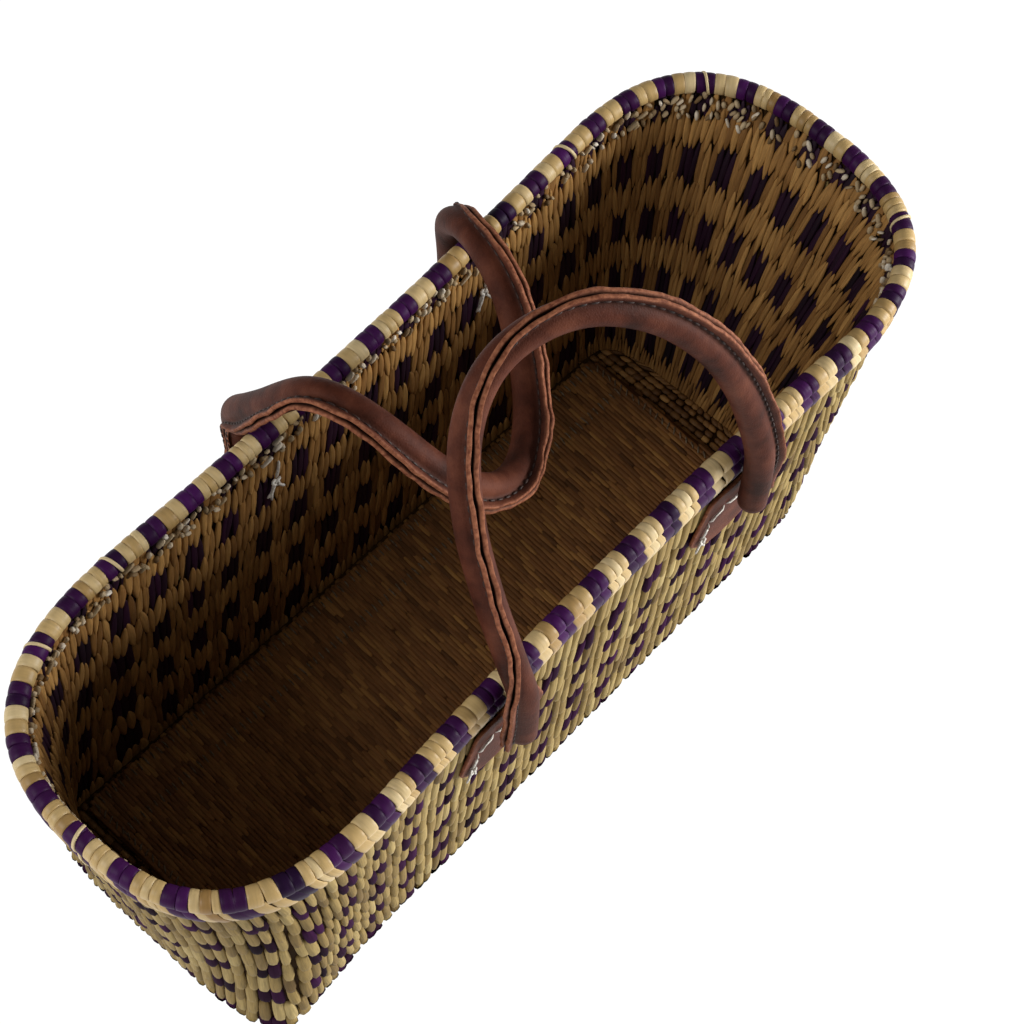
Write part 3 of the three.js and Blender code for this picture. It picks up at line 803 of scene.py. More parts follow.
def base_point(x, across, z):
    """A point of the base: mm along, 0 at the near edge to 1 at the far edge, height."""
    near = np.interp(x, near_part[:, 0], near_part[:, 1]) + BASE_EDGE
    far = np.interp(x, far_part[:, 0], far_part[:, 1]) - BASE_EDGE
    return np.stack(np.broadcast_arrays(x, near + (far - near) * across, z), -1)


def add_slab(name, outline, levels, material, slot, tone, stretch):
    """A flat closed slab of an outline between two levels, with its streaks drawn out one way."""
    size = len(outline)
    points = np.concatenate([np.column_stack([outline, np.full(size, z)]) for z in levels])
    faces = [(n, (n + 1) % size, size + (n + 1) % size, size + n) for n in range(size)]
    faces += [tuple(range(size))[::-1], tuple(range(size, 2 * size))]
    add_piece(
        name, points, faces, material, "basket", slot, tone=np.full(2 * size, tone), grain=points * stretch,
    )


base_left = BASE_SHIFT - BASE_HALF_LENGTH + BASE_EDGE
base_right = BASE_SHIFT + BASE_HALF_LENGTH - BASE_EDGE
strip_places = np.arange(base_right + BASE_STRIP_PAST, base_left + BASE_STRIP_WIDTH / 2, -BASE_STRIP_WIDTH)
base_strip = pillow(rings=3, sides=5, fullness=2.4, square=2.2)
across, along, out = base_strip[0].T
strip_number, strip_row = np.meshgrid(np.arange(len(strip_places)), np.arange(BASE_ROWS), indexing="ij")
strip_number, strip_row = strip_number.ravel(), strip_row.ravel()
strip_x = strip_places[strip_number]
stagger = np.where(strip_number % 2 == 0, BASE_STAGGER, -BASE_STAGGER)
count = len(strip_x)
base_made, base_tone = [], []
for z, sign in ((BASE_STRIP_SEAT, -1), (BASE_THICKNESS - BASE_STRIP_SEAT, 1)):
    half_width = BASE_STRIP_WIDTH / 2 * base_random.uniform(*UNEVEN_BASE["width"], count)
    half_length = 0.5 / BASE_ROWS * base_random.uniform(*UNEVEN_BASE["length"], count)
    uneven = base_random.normal(0, UNEVEN_BASE["place"], count)
    middle = (strip_row + 0.5 + stagger + uneven) / BASE_ROWS
    base_made.append(base_point(
        strip_x[:, None] + half_width[:, None] * across * sign,
        np.clip(middle[:, None] + half_length[:, None] * along, 0, 1),
        z + BASE_STRIP_CROWN * sign * out,
    ))
    base_tone.append(tones(base_random, *UNEVEN_BASE["tone"], count))
add_strips(
    "base_strips", base_strip, np.concatenate(base_made), inner_seagrass, "straw", ["base_panel"],
    np.concatenate(base_tone), BASE_STRIP_WIDTH, np.full(2 * count, BASE_STRIP_HALF),
)
# The base rods take the stems' painted shade as well.
add_slab("base_rods", base_plan - base_out * CORE_EDGE, BASE_CORE, stem_painted_shade, "straw", CORE_TONE, LENGTHWISE)


# Floor mat: a loose mat of dark rush laid on the base. The rushes lie across the basket and pass over and
# under hidden cords that run along it, so each shows as a row of short floats.
MAT_INSET = 20
MAT_LEFT = BASE_SHIFT - BASE_HALF_LENGTH + MAT_INSET
MAT_RIGHT = BASE_SHIFT + BASE_HALF_LENGTH - MAT_INSET
MAT_EDGE = 6.8
MAT_CORNER = 8.0
MAT_CORNER_STEPS = (0.0, 0.6, 2.3, 4.9, MAT_CORNER)
MAT_SIDE_FROM = 20
MAT_SIDE_STEPS = 12
MAT_LEVELS = (6.3, 8.1)
MAT_SLANT = -0.05
CORD_INSET = 0.5
CORD_TONE = 0.1
CROSSWISE = (1, 0.1, 1)
RUSH_PITCH = 2.3
RUSH_WIDTH = 2.7
RUSH_HALF = 1.5
RUSH_CROWN = 0.9
FLOAT_PITCH = 12.0
FLOAT_ROWS = 8
FLOAT_END_CLEAR = 1
FLOAT_SIDE_PAST = 3
UNEVEN_RUSH = {
    "phase": 0.14, "place": 0.8, "length": (1.15, 1.5), "width": (0.85, 1.15), "crown": (0.8, 1.1),
    "tone": (0.5, 0.2),
}
mat_random = np.random.default_rng(71)

# Soft rush, brown with age and handling: matt, each float a little redder or greyer than the next.
rush = strip_material("aged_rush", "573618", "7e522a", "9e7039", 0.8, (0.7, 1.12), {
    "Roughness": 0.75,
    "Specular IOR Level": 0.25,
})


def mat_edges(x):
    """Near and far edge of the mat at places along it, with its rounded corners."""
    t = (x - MAT_LEFT) / (MAT_RIGHT - MAT_LEFT)
    ends = np.array([MAT_LEFT, MAT_RIGHT])
    near_ends = base_y(ends, np.full(2, -BASE_HALF_WIDTH)) + MAT_EDGE
    far_ends = base_y(ends, np.full(2, BASE_HALF_WIDTH)) - MAT_EDGE
    from_end = np.clip(np.minimum(x - MAT_LEFT, MAT_RIGHT - x), 0, MAT_CORNER)
    cut = MAT_CORNER - np.sqrt(MAT_CORNER ** 2 - (MAT_CORNER - from_end) ** 2)
    near = near_ends[0] + (near_ends[1] - near_ends[0]) * t + cut
    far = far_ends[0] + (far_ends[1] - far_ends[0]) * t - cut
    return near, far


rush_float = pillow(rings=4, sides=6, fullness=2.6, square=2.2)
across, along, out = rush_float[0].T
slant_reach = abs(MAT_SLANT) * BASE_HALF_WIDTH
rush_lines = np.arange(MAT_LEFT - slant_reach, MAT_RIGHT + slant_reach, RUSH_PITCH)
line_number = np.arange(len(rush_lines))
line, float_row = np.meshgrid(line_number, np.arange(-FLOAT_ROWS, FLOAT_ROWS + 1), indexing="ij")
line, float_row = line.ravel(), float_row.ravel()
phase = 0.5 * (line_number % 2) + mat_random.normal(0, UNEVEN_RUSH["phase"], len(rush_lines))
float_y = FLOAT_PITCH * (float_row + phase[line]) + mat_random.normal(0, UNEVEN_RUSH["place"], len(line))
float_x = rush_lines[line] - MAT_SLANT * float_y
near, far = mat_edges(np.clip(float_x, MAT_LEFT, MAT_RIGHT))
inside = (float_x > MAT_LEFT + FLOAT_END_CLEAR) & (float_x < MAT_RIGHT - FLOAT_END_CLEAR)
inside &= (float_y > near - FLOAT_SIDE_PAST) & (float_y < far + FLOAT_SIDE_PAST)
float_x, float_y, near, far = (values[inside, None] for values in (float_x, float_y, near, far))
count = len(float_x)
half_length = FLOAT_PITCH / 2 * mat_random.uniform(*UNEVEN_RUSH["length"], count)
half_width = RUSH_HALF * mat_random.uniform(*UNEVEN_RUSH["width"], count)
float_along = np.clip(float_y + half_length[:, None] * along, near, far)
aside = float_x - MAT_SLANT * (float_along - float_y) + half_width[:, None] * across
rise = MAT_LEVELS[1] + RUSH_CROWN * out * mat_random.uniform(*UNEVEN_RUSH["crown"], (count, 1))
floats = np.stack([np.clip(aside, MAT_LEFT, MAT_RIGHT), float_along, rise], -1)
tone = tones(mat_random, *UNEVEN_RUSH["tone"], count)
add_strips("rush_mat", rush_float, floats, rush, "rush", ["floor_mat"], tone, RUSH_WIDTH, half_length)

corner_x = MAT_LEFT + np.array(MAT_CORNER_STEPS)
side_x = np.linspace(MAT_LEFT + MAT_SIDE_FROM, MAT_RIGHT - MAT_SIDE_FROM, MAT_SIDE_STEPS)
cord_x = np.r_[corner_x, side_x, MAT_LEFT + MAT_RIGHT - corner_x[::-1]]
near, far = mat_edges(cord_x)
cords = np.r_[np.column_stack([cord_x, near + CORD_INSET]), np.column_stack([cord_x, far - CORD_INSET])[::-1]]
add_slab("rush_mat_cords", cords, MAT_LEVELS, rush, "rush", CORD_TONE, CROSSWISE)


# Mat stitches: a pale thread oversewn round the mat's edge in slanting stitches, with a second line
# along the far side.
MAT_STITCH_INSET = 4.0
MAT_STITCH_PITCH = 4.2
MAT_STITCH_LONG = 7.0
MAT_STITCH_RADIUS = 0.45
MAT_STITCH_LIFT = 0.3
MAT_STITCH_DIP = 0.9
MAT_STITCH_STEPS = 5
SECOND_LINE_INSET = 24.0
SIDE_LEANS = (0.0, 0.2)
SIDE_LENGTHS = (0.75, 1.05)
END_LEANS = (0.25, 0.65)
THREAD_SIDES = 6
THREAD_END = 0.45
THREAD_ACROSS = (0.31, 0.17, 0.94)
mat_thread_random = np.random.default_rng(83)


def turned(faces):
    """The same faces, looking the other way."""
    return [face[::-1] for face in faces]


def thread_mesh(paths, radius):
    """Round threads along paths, each with closed, drawn-in ends: points and faces."""
    points, faces, start = [], [], 0
    angle = 2 * math.pi * np.arange(THREAD_SIDES) / THREAD_SIDES
    for path in paths:
        path = np.asarray(path, float)
        along = unit(np.gradient(path, axis=0))
        side = unit(np.cross(along, THREAD_ACROSS))
        other = np.cross(along, side)
        size = np.full(len(path), radius)
        size[[0, -1]] *= THREAD_END
        body = (
            path[:, None]
            + size[:, None, None] * np.cos(angle)[:, None] * side[:, None]
            + size[:, None, None] * np.sin(angle)[:, None] * other[:, None]
        )
        shell = turned(tube_faces(len(path), THREAD_SIDES))
        faces += [tuple(n + start for n in face) for face in shell]
        points.append(body.reshape(-1, 3))
        start += len(path) * THREAD_SIDES
    return np.concatenate(points), faces


def thread_material(name, dark, pale, ply_mm, values):
    """Spun thread: small light and dark flecks of its ply, drawn coarser than life so that they show."""
    material, tree, shader = new_material(name, values)
    place = add_node(tree, "ShaderNodeTexCoord", {})
    ply = add_node(tree, "ShaderNodeTexNoise", {
        "Vector": place.outputs["Object"],
        "Scale": MM_IN_M / ply_mm,
        "Detail": 2.0,
    })
    ramp = add_node(tree, "ShaderNodeValToRGB", {"Fac": ply.outputs["Fac"]})
    ramp.color_ramp.elements[0].position = 0.3
    ramp.color_ramp.elements[0].color = linear(dark)
    ramp.color_ramp.elements[1].position = 0.7
    ramp.color_ramp.elements[1].color = linear(pale)
    tree.links.new(ramp.outputs["Color"], shader.inputs["Base Color"])
    bump = add_node(tree, "ShaderNodeBump", {
        "Strength": 0.4,
        "Distance": 0.0003,
        "Height": ply.outputs["Fac"],
    })
    tree.links.new(bump.outputs["Normal"], shader.inputs["Normal"])
    return material


def mat_stitch(x, y, reach_x, reach_y):
    """One stitch that lies on the rush and dips into it at both ends."""
    t = np.linspace(-1, 1, MAT_STITCH_STEPS)
    rise = MAT_LEVELS[1] + RUSH_CROWN + MAT_STITCH_LIFT - MAT_STITCH_DIP * t ** 2
    return np.column_stack([x + reach_x * t, y + reach_y * t, rise])


# The mat's thread, once white, is dusty grey-brown by now.
dusty_thread = thread_material("dusty_thread", "4d3c2a", "83725c", 1.5, {
    "Roughness": 0.8,
    "Specular IOR Level": 0.2,
})

stitch_paths = []
left, right = MAT_LEFT + MAT_STITCH_INSET, MAT_RIGHT - MAT_STITCH_INSET
for x in np.arange(left, right, MAT_STITCH_PITCH):
    near, far = mat_edges(np.array(x))
    for y in (near + MAT_STITCH_INSET, far - MAT_STITCH_INSET, far - SECOND_LINE_INSET):
        lean = mat_thread_random.uniform(*SIDE_LEANS)
        half = MAT_STITCH_LONG / 2 * mat_thread_random.uniform(*SIDE_LENGTHS)
        stitch_paths.append(mat_stitch(x, y, half * lean, half * (1 - lean)))
for x in (left, right):
    near, far = mat_edges(np.array(x))
    for y in np.arange(near + MAT_STITCH_INSET, far - MAT_STITCH_INSET, MAT_STITCH_PITCH):
        lean = mat_thread_random.uniform(*END_LEANS)
        half = MAT_STITCH_LONG / 2
        stitch_paths.append(mat_stitch(x, y, half * (1 - lean), half * lean))
made, faces = thread_mesh(stitch_paths, MAT_STITCH_RADIUS)
add_piece("mat_stitches", made, faces, dusty_thread, "basket", "waxed_thread", ["mat_edge_thread"])


# Handles: a strip of brown leather rolled round a rope and sewn along the fold, so that its two edges
# stand out as a wavy flange with raw cut edges. One stands up, the other has flopped into the basket.
HANDLES = {
    "front": {
        "side": -1, "centre": 9.0, "half_width": 80.5, "reach": 175.0, "roundness": 2.17, "drift": -0.07,
        "lean": 0.2, "fold": 0.82, "fold_start": -5.0, "fold_end": 246.0, "fold_skew": 47.0, "bow": 0.0,
        "flange_turns": (
            (0, 0), (0.06, 0.1), (0.18, 1.2), (0.34, 1.3), (0.54, 0.75), (0.72, 0.75), (0.9, 0.4), (1, 0),
        ),
        "ruffle": 0.3, "ruffle_more": 0.15, "ruffle_at": 0.3, "narrow_at": (), "seed": 97,
    },
    "rear": {
        "side": 1, "centre": 14.5, "half_width": 72.0, "reach": 175.0, "roundness": 1.91, "drift": -0.2,
        "lean": 0.53, "fold": 2.24, "fold_start": 50.0, "fold_end": 140.0, "fold_skew": -54.0, "bow": 2.0,
        "flange_turns": (
            (0, 0.1), (0.05, 0.1), (0.13, -0.5), (0.24, -0.15), (0.36, 0.65), (0.48, 0.6), (0.62, 1.25),
            (0.84, 1.2), (0.94, 0.1), (1, 0),
        ),
        "ruffle": 0.3, "ruffle_more": 0.7, "ruffle_at": 0.58, "narrow_at": (0.05, 0.91), "seed": 101,
    },
}
HANDLE_RADIUS = 7.1
HANDLE_BORE = 6.0
ROPE_RADIUS = 5.4
FLANGE_TIP = 12.2
FLANGE = FLANGE_TIP - HANDLE_RADIUS
NARROW = 0.85
NARROW_RUN = 0.055
HANDLE_DROP = 36.0
LEAN_RUN = 20.0
STIFF_RUN = 10.0
BOW_RUN = 18.0
LEG_SHARES = (0.1, 0.2)
LEG_STEPS = 40
ARCH_STEPS = 601
FOLD_STEPS = 120
HANDLE_STATIONS = 220
TUBE_SIDES = 30
BORE_SIDES = 14
SEAM_OPEN = 17
BORE_OPEN = 2
GROOVE_RUN = 32
GROOVE_SHADE = 0.6
BORE_SHADE = 0.5
TUBE_SLACK = 0.05
RUFFLE_RUN = 0.12
RUFFLE_WAVES = ((31, 0.6), (13, 0.4))
SPLAY = 0.5
SPLAY_WAVES = ((21, 0.2),)
RUFFLE_POWER = 1.5
SPLAY_POWER = 2
PAST_TIP = 1.1
TRIM_WAVES = ((37, 0.35), (9, 0.15))
DENT = 0.018
DENT_RUNS = (9, 23)
MOTTLE_MM = 24
NAP_MM = 2.2
PORE_MM = 1.3
CREASE_MM = 5


def round_off(points, spacing):
    """A line with its turns rounded off, as stiff rope lies; it runs straight on past its ends."""
    reach = int(3 * STIFF_RUN / spacing)
    weight = np.exp(-(np.arange(-reach, reach + 1) * spacing / STIFF_RUN) ** 2 / 2)
    before = np.arange(reach, 0, -1)[:, None]
    longer = np.vstack([
        points[0] - before * (points[1] - points[0]),
        points,
        points[-1] + before[::-1] * (points[-1] - points[-2]),
    ])
    return np.column_stack([np.convolve(longer[:, n], weight / weight.sum(), "valid") for n in range(3)])


def flange_turn(handle, u):
    """How far the flange has turned about the rope, eased from one stated place to the next."""
    places, turns = np.array(handle["flange_turns"], float).T
    after = np.clip(np.searchsorted(places, u), 1, len(places) - 1)
    eased = smoothstep(u, places[after - 1], places[after])
    return turns[after - 1] + (turns[after] - turns[after - 1]) * eased


def handle_bend(handle, s, across):
    """Lean of the handle's sheet from upright at a height up it, sooner at one leg than at the other."""
    skew = handle["fold_skew"] * across
    folded = np.where(s > 0, smoothstep(s - skew, handle["fold_start"], handle["fold_end"]), 0)
    return handle["lean"] * smoothstep(s, 0, LEAN_RUN) + (handle["fold"] - handle["lean"]) * folded


def handle_line(handle, distance):
    """Middle line of a handle with its flange and cross directions, evenly spaced, and the run in mm.

    The rope rounds off sharp turns, and bows out where a leg passes the rim.
    """
    side = handle["side"]
    leg = np.linspace(0, 1, LEG_STEPS, endpoint=False)
    angle = math.pi * (np.linspace(0, 1, ARCH_STEPS) - 0.5)
    power = 2 / handle["roundness"]
    arch = np.sign(angle) * np.abs(np.sin(angle)) ** power
    across = np.r_[np.full(LEG_STEPS, -1), arch, np.full(LEG_STEPS, 1)]
    rise = handle["reach"] * np.maximum(np.cos(angle), 0) ** power
    s = np.r_[-HANDLE_DROP * (1 - leg), rise, -HANDLE_DROP * (1 - leg[::-1])]
    up_sheet = np.maximum(s, 0)
    x = handle["centre"] + handle["half_width"] * across + handle["drift"] * up_sheet
    steps = (np.arange(FOLD_STEPS) + 0.5) / FOLD_STEPS
    bends = handle_bend(handle, up_sheet[:, None] * steps, across[:, None])
    inward = np.sin(bends).mean(1) * up_sheet
    up = np.where(s > 0, np.cos(bends).mean(1) * up_sheet, s)
    points = np.column_stack([x, side * (distance - inward), RIM_HEIGHT + up])
    run = np.r_[0, np.cumsum(np.linalg.norm(np.diff(points, axis=0), axis=1))]
    wanted = np.linspace(0, run[-1], HANDLE_STATIONS)
    u = wanted / run[-1]
    at = round_off(read_along(run, points, wanted), wanted[1])
    legs = 1 - smoothstep(u, *LEG_SHARES) + smoothstep(u, 1 - LEG_SHARES[1], 1 - LEG_SHARES[0])
    at[:, 1] += side * handle["bow"] * legs * np.exp(-((at[:, 2] - RIM_HEIGHT) / BOW_RUN) ** 2)
    own_bend = np.interp(wanted, run, handle_bend(handle, s, across))
    along = unit(np.gradient(at, axis=0))
    out_of_sheet = np.column_stack([0 * own_bend, side * np.cos(own_bend), np.sin(own_bend)])
    out_of_loop = unit(side * np.cross(along, out_of_sheet))
    turn = flange_turn(handle, u)
    flange = np.cos(turn)[:, None] * out_of_loop + np.sin(turn)[:, None] * out_of_sheet
    flange = unit(flange - (flange * along).sum(1)[:, None] * along)
    cross = side * np.cross(along, flange)
    return wanted, at, flange, cross


def sleeve_section():
    """The folded strip cut across: place along the flange, place across it, raw edge, painted shade by the
    seam and inside.
    """
    face = [
        (12.15, 2.2, 0.9, 0), (11.6, 2.35, 0.4, 0), (10.6, 2.4, 0, 0),
        (9.4, 2.2, 0, 0.1), (8.6, 1.9, 0, 0.7), (7.95, 1.65, 0, 1.0),
    ]
    tube = []
    for angle in np.linspace(math.radians(SEAM_OPEN), math.radians(360 - SEAM_OPEN), TUBE_SIDES):
        near_seam = max(0.0, 1 - abs(math.pi - abs(angle - math.pi)) / math.radians(GROOVE_RUN))
        shade = GROOVE_SHADE * near_seam
        tube.append((HANDLE_RADIUS * math.cos(angle), HANDLE_RADIUS * math.sin(angle), 0, shade))
    edge = [
        (12.3, -1.7, 1, 0), (12.35, -0.9, 1, 0), (12.15, -0.3, 1, 0.3),
        (10.6, -0.18, 0.6, 1), (8.2, -0.15, 0, 1),
    ]
    bore = []
    for angle in np.linspace(math.radians(360 - BORE_OPEN), math.radians(BORE_OPEN), BORE_SIDES):
        bore.append((HANDLE_BORE * math.cos(angle), HANDLE_BORE * math.sin(angle), 0, BORE_SHADE))
    mirrored = [(a, -b, raw, groove) for a, b, raw, groove in face[::-1]]
    other_edge = [(a, -b, raw, groove) for a, b, raw, groove in edge[::-1]]
    return np.array(face + tube + mirrored + edge + bore + other_edge)


def waves(run, parts, phases):
    """Waves along a run, each of its own length in mm and height, added up."""
    return sum(high * np.sin(2 * math.pi * run / long + phase) for (long, high), phase in zip(parts, phases))


# Vegetable-tanned cowhide, waxed by hands: mottled brown with fine pores and a soft shine, with painted
# shade in the sewn groove, between the flange's leaves and in the bore, and lighter and fibrous at its raw
# edges. Pores are drawn coarser than life so that they show.
handle_leather, tree, shader = new_material("waxed_cowhide", {"Roughness": 0.62, "Specular IOR Level": 0.1})
place = add_node(tree, "ShaderNodeTexCoord", {})
mottle = add_node(tree, "ShaderNodeTexNoise", {
    "Vector": place.outputs["Object"],
    "Scale": MM_IN_M / MOTTLE_MM,
    "Detail": 5.0,
    "Roughness": 0.62,
})
ramp = add_node(tree, "ShaderNodeValToRGB", {"Fac": mottle.outputs["Fac"]})
ramp.color_ramp.elements[0].position = 0.32
ramp.color_ramp.elements[0].color = linear("30150c")
ramp.color_ramp.elements[1].position = 0.7
ramp.color_ramp.elements[1].color = linear("643726")
ramp.color_ramp.elements.new(0.5).color = linear("4c2518")
nap = add_node(tree, "ShaderNodeTexNoise", {
    "Vector": place.outputs["Object"],
    "Scale": MM_IN_M / NAP_MM,
    "Detail": 3.0,
})
edge_ramp = add_node(tree, "ShaderNodeValToRGB", {"Fac": nap.outputs["Fac"]})
edge_ramp.color_ramp.elements[0].position = 0.3
edge_ramp.color_ramp.elements[0].color = linear("683826")
edge_ramp.color_ramp.elements[1].position = 0.7
edge_ramp.color_ramp.elements[1].color = linear("a0674a")
raw = add_node(tree, "ShaderNodeAttribute", {}, attribute_name="raw")
edged = add_node(tree, "ShaderNodeMix", {
    "Factor": raw.outputs["Fac"],
    6: ramp.outputs["Color"],
    7: edge_ramp.outputs["Color"],
}, data_type="RGBA")
# Painted shade: the seam's groove, the slit between the flange's leaves and the bore are mixed towards this
# dark brown.
groove = add_node(tree, "ShaderNodeAttribute", {}, attribute_name="groove")
grooved = add_node(tree, "ShaderNodeMix", {
    "Factor": groove.outputs["Fac"],
    6: edged.outputs[2],
    7: linear("2b1812"),
}, data_type="RGBA")
tree.links.new(grooved.outputs[2], shader.inputs["Base Color"])
pores = add_node(tree, "ShaderNodeTexVoronoi", {
    "Vector": place.outputs["Object"],
    "Scale": MM_IN_M / PORE_MM,
}, feature="DISTANCE_TO_EDGE")
creases = add_node(tree, "ShaderNodeTexNoise", {
    "Vector": place.outputs["Object"],
    "Scale": MM_IN_M / CREASE_MM,
    "Detail": 4.0,
    "Distortion": 0.8,
})
relief = add_node(tree, "ShaderNodeMath", {0: pores.outputs["Distance"], 1: creases.outputs["Fac"]},
                  operation="ADD")
bump = add_node(tree, "ShaderNodeBump", {
    "Strength": 0.35,
    "Distance": 0.0006,
    "Height": relief.outputs["Value"],
})
tree.links.new(bump.outputs["Normal"], shader.inputs["Normal"])

hinge_line = {joint["child"]: joint["pos_m"] for joint in frame["record"]["behaviour"]["joints"]}
section = sleeve_section()
section_out = np.clip((section[:, 0] - HANDLE_RADIUS) / FLANGE, 0, PAST_TIP)
on_tube = np.hypot(section[:, 0], section[:, 1]) < HANDLE_RADIUS + TUBE_SLACK
around = np.arctan2(section[:, 1], section[:, 0])
handle_lines = {}
for name, handle in HANDLES.items():
    distance = abs(hinge_line[f"{name}_handle"][1] * MM_IN_M - FRAME_SHIFT[1])
    run, at, flange, cross = handle_line(handle, distance)
    handle_lines[name] = (run, at, flange, cross)
    handle_random = np.random.default_rng(handle["seed"])
    phase = handle_random.uniform(0, 2 * math.pi, 6)
    more = np.exp(-((run / run[-1] - handle["ruffle_at"]) / RUFFLE_RUN) ** 2)
    ruffle = (handle["ruffle"] + handle["ruffle_more"] * more) * waves(run, RUFFLE_WAVES, phase[:2])
    splay = SPLAY + waves(run, SPLAY_WAVES, phase[2:3])
    trim = waves(run, TRIM_WAVES, phase[3:5])
    for place in handle["narrow_at"]:
        narrowed = np.exp(-((run / run[-1] - place) / NARROW_RUN) ** 2)
        trim = trim - NARROW * FLANGE * narrowed
    dent = np.sin(run[:, None] / DENT_RUNS[0] + 2 * around + phase[5])
    dent = 1 + DENT * dent * np.sin(run[:, None] / DENT_RUNS[1] - around)
    a = section[:, 0] * np.where(on_tube, dent, 1) + trim[:, None] * section_out
    b = section[:, 1] * np.where(on_tube, dent, 1) + ruffle[:, None] * section_out ** RUFFLE_POWER
    b = b + np.sign(section[:, 1]) * splay[:, None] * section_out ** SPLAY_POWER
    made = at[:, None] + a[..., None] * flange[:, None] + b[..., None] * cross[:, None]
    faces = tube_faces(HANDLE_STATIONS, len(section))
    add_piece(
        f"{name}_handle_sleeve", made, turned(faces) if handle["side"] > 0 else faces, handle_leather,
        f"{name}_handle", "leather", [f"{name}_handle_leather"],
        raw=np.tile(section[:, 2], HANDLE_STATIONS), groove=np.tile(section[:, 3], HANDLE_STATIONS),
    )
    made, faces = thread_mesh([at], ROPE_RADIUS)
    add_piece(
        f"{name}_handle_cord", made, faces, stem_bundle, f"{name}_handle", "rope", [f"{name}_handle_rope"],
    )


# Handle seams: dark thread in a running stitch along the groove between the roll and the flange, on
# both faces.
SEAM_START = 2.0
SEAM_PITCH = 5.2
SEAM_STITCH = 3.8
SEAM_STEPS = 5
SEAM_DIP = 0.5
SEAM_RADIUS = 0.55
SEAM_PLACE = (8.25, 2.0)

# Dark linen thread, waxed: almost black, with a faint shine on each stitch.
linen_thread = thread_material("dark_linen_thread", "1d100c", "3d251c", 1.5, {
    "Roughness": 0.6,
    "Specular IOR Level": 0.35,
})

dip = SEAM_DIP * np.linspace(-1, 1, SEAM_STEPS) ** 4
for name, (run, at, flange, cross) in handle_lines.items():
    paths = []
    for start in np.arange(SEAM_START, run[-1] - SEAM_PITCH, SEAM_PITCH):
        along = np.linspace(start, start + SEAM_STITCH, SEAM_STEPS)
        middle, p, q = (read_along(run, rows, along) for rows in (at, flange, cross))
        for face in (-1, 1):
            paths.append(middle + SEAM_PLACE[0] * p + (face * (SEAM_PLACE[1] - dip))[:, None] * q)
    made, faces = thread_mesh(paths, SEAM_RADIUS)
    add_piece(
        f"{name}_handle_stitches", made, faces, linen_thread, f"{name}_handle", "seam_thread",
        [f"{name}_handle_seam"],
    )


# Tabs: fan-shaped pieces of the same leather that lie on the wall under the handle ends and spread
# their pull over many strips.
TAB_THICKNESS = 2.0
TAB_TOP_HALF = 19.0
TAB_HALF = 29.0
TAB_RISE = 8.0
TAB_SHOULDER = 24.0
TAB_DROP = 44.0
TAB_MIDDLE = (0.0, -16.0)
CLEARANCE = 0.3
TAB_FRONT = CLEARANCE + TAB_THICKNESS
HINGE_HEIGHT = RIM_HEIGHT - HANDLE_DROP

# Share of the outline, height off the wall and raw edge, from the tab's back round its edge to its front.
TAB_RINGS = (
    (0.02, CLEARANCE, 0),
    (0.5, CLEARANCE, 0),
    (0.97, CLEARANCE, 0.5),
    (1.0, CLEARANCE + 0.4, 1),
    (1.0, TAB_FRONT - 0.4, 1),
    (0.985, TAB_FRONT - 0.1, 0.7),
    (0.95, TAB_FRONT, 0.1),
    (0.8, TAB_FRONT - 0.15, 0),
    (0.5, TAB_FRONT, 0),
    (0.02, TAB_FRONT, 0),
)


def side_distance(side, x, z):
    """How far the middle of a long wall stands from the basket's middle plane."""
    up = (z / RIM_HEIGHT) ** WALL_BELLY
    rim_from, rim_to = RIM_HALF_LENGTH - RIM_ENDS[1], RIM_ENDS[0] - RIM_HALF_LENGTH
    base_from = BASE_SHIFT + BASE_HALF_LENGTH - BASE_END
    base_to = BASE_SHIFT + BASE_END - BASE_HALF_LENGTH
    start = base_from + (rim_from - base_from) * up
    end = base_to + (rim_to - base_to) * up
    t = (x - start) / (end - start)
    at_rim = rim_y(rim_from + (rim_to - rim_from) * t, side * RIM_HALF_WIDTH + 0 * t)
    at_base = base_y(base_from + (base_to - base_from) * t, side * BASE_HALF_WIDTH + 0 * t)
    return np.abs(at_base + (at_rim - at_base) * up)


def side_point(side, x, z, stand_off):
    """A point off a long wall's outer face, or off its inner face where stand_off is negative."""
    x, z, stand_off = np.broadcast_arrays(np.asarray(x, float), z, stand_off)
    slope = side_distance(side, x, z + 1) - side_distance(side, x, z)
    half = WALL_HALF * np.hypot(1, slope)
    off = np.where(stand_off > 0, half + stand_off, stand_off - half)
    return np.stack([x, side * (side_distance(side, x, z) + off), z], -1)


def bend_between(start, by, end, steps):
    """Points of a curve that leaves its start towards a third point; its end is left out."""
    t = np.linspace(0, 1, steps, endpoint=False)[:, None]
    return (1 - t) ** 2 * np.array(start) + 2 * t * (1 - t) * np.array(by) + t ** 2 * np.array(end)


def straight(start, end, steps):
    """Points of a straight line; its end is left out."""
    t = np.linspace(0, 1, steps, endpoint=False)[:, None]
    return np.array(start) + t * (np.array(end) - np.array(start))


tab_outline = np.concatenate([
    straight((-TAB_TOP_HALF, TAB_RISE), (-TAB_HALF, -TAB_SHOULDER), 12),
    bend_between((-TAB_HALF, -TAB_SHOULDER), (-2 * TAB_HALF / 3, -TAB_DROP), (0, -TAB_DROP), 14),
    bend_between((0, -TAB_DROP), (2 * TAB_HALF / 3, -TAB_DROP), (TAB_HALF, -TAB_SHOULDER), 14),
    straight((TAB_HALF, -TAB_SHOULDER), (TAB_TOP_HALF, TAB_RISE), 12),
    straight((TAB_TOP_HALF, TAB_RISE), (-TAB_TOP_HALF, TAB_RISE), 14),
])
tab_outline = (np.roll(tab_outline, 1, 0) + tab_outline * 2 + np.roll(tab_outline, -1, 0)) / 4
tab_size = len(tab_outline)
TABS = {}
for name, handle in HANDLES.items():
    TABS[f"{name}_left"] = (handle["side"], handle["centre"] - handle["half_width"])
    TABS[f"{name}_right"] = (handle["side"], handle["centre"] + handle["half_width"])
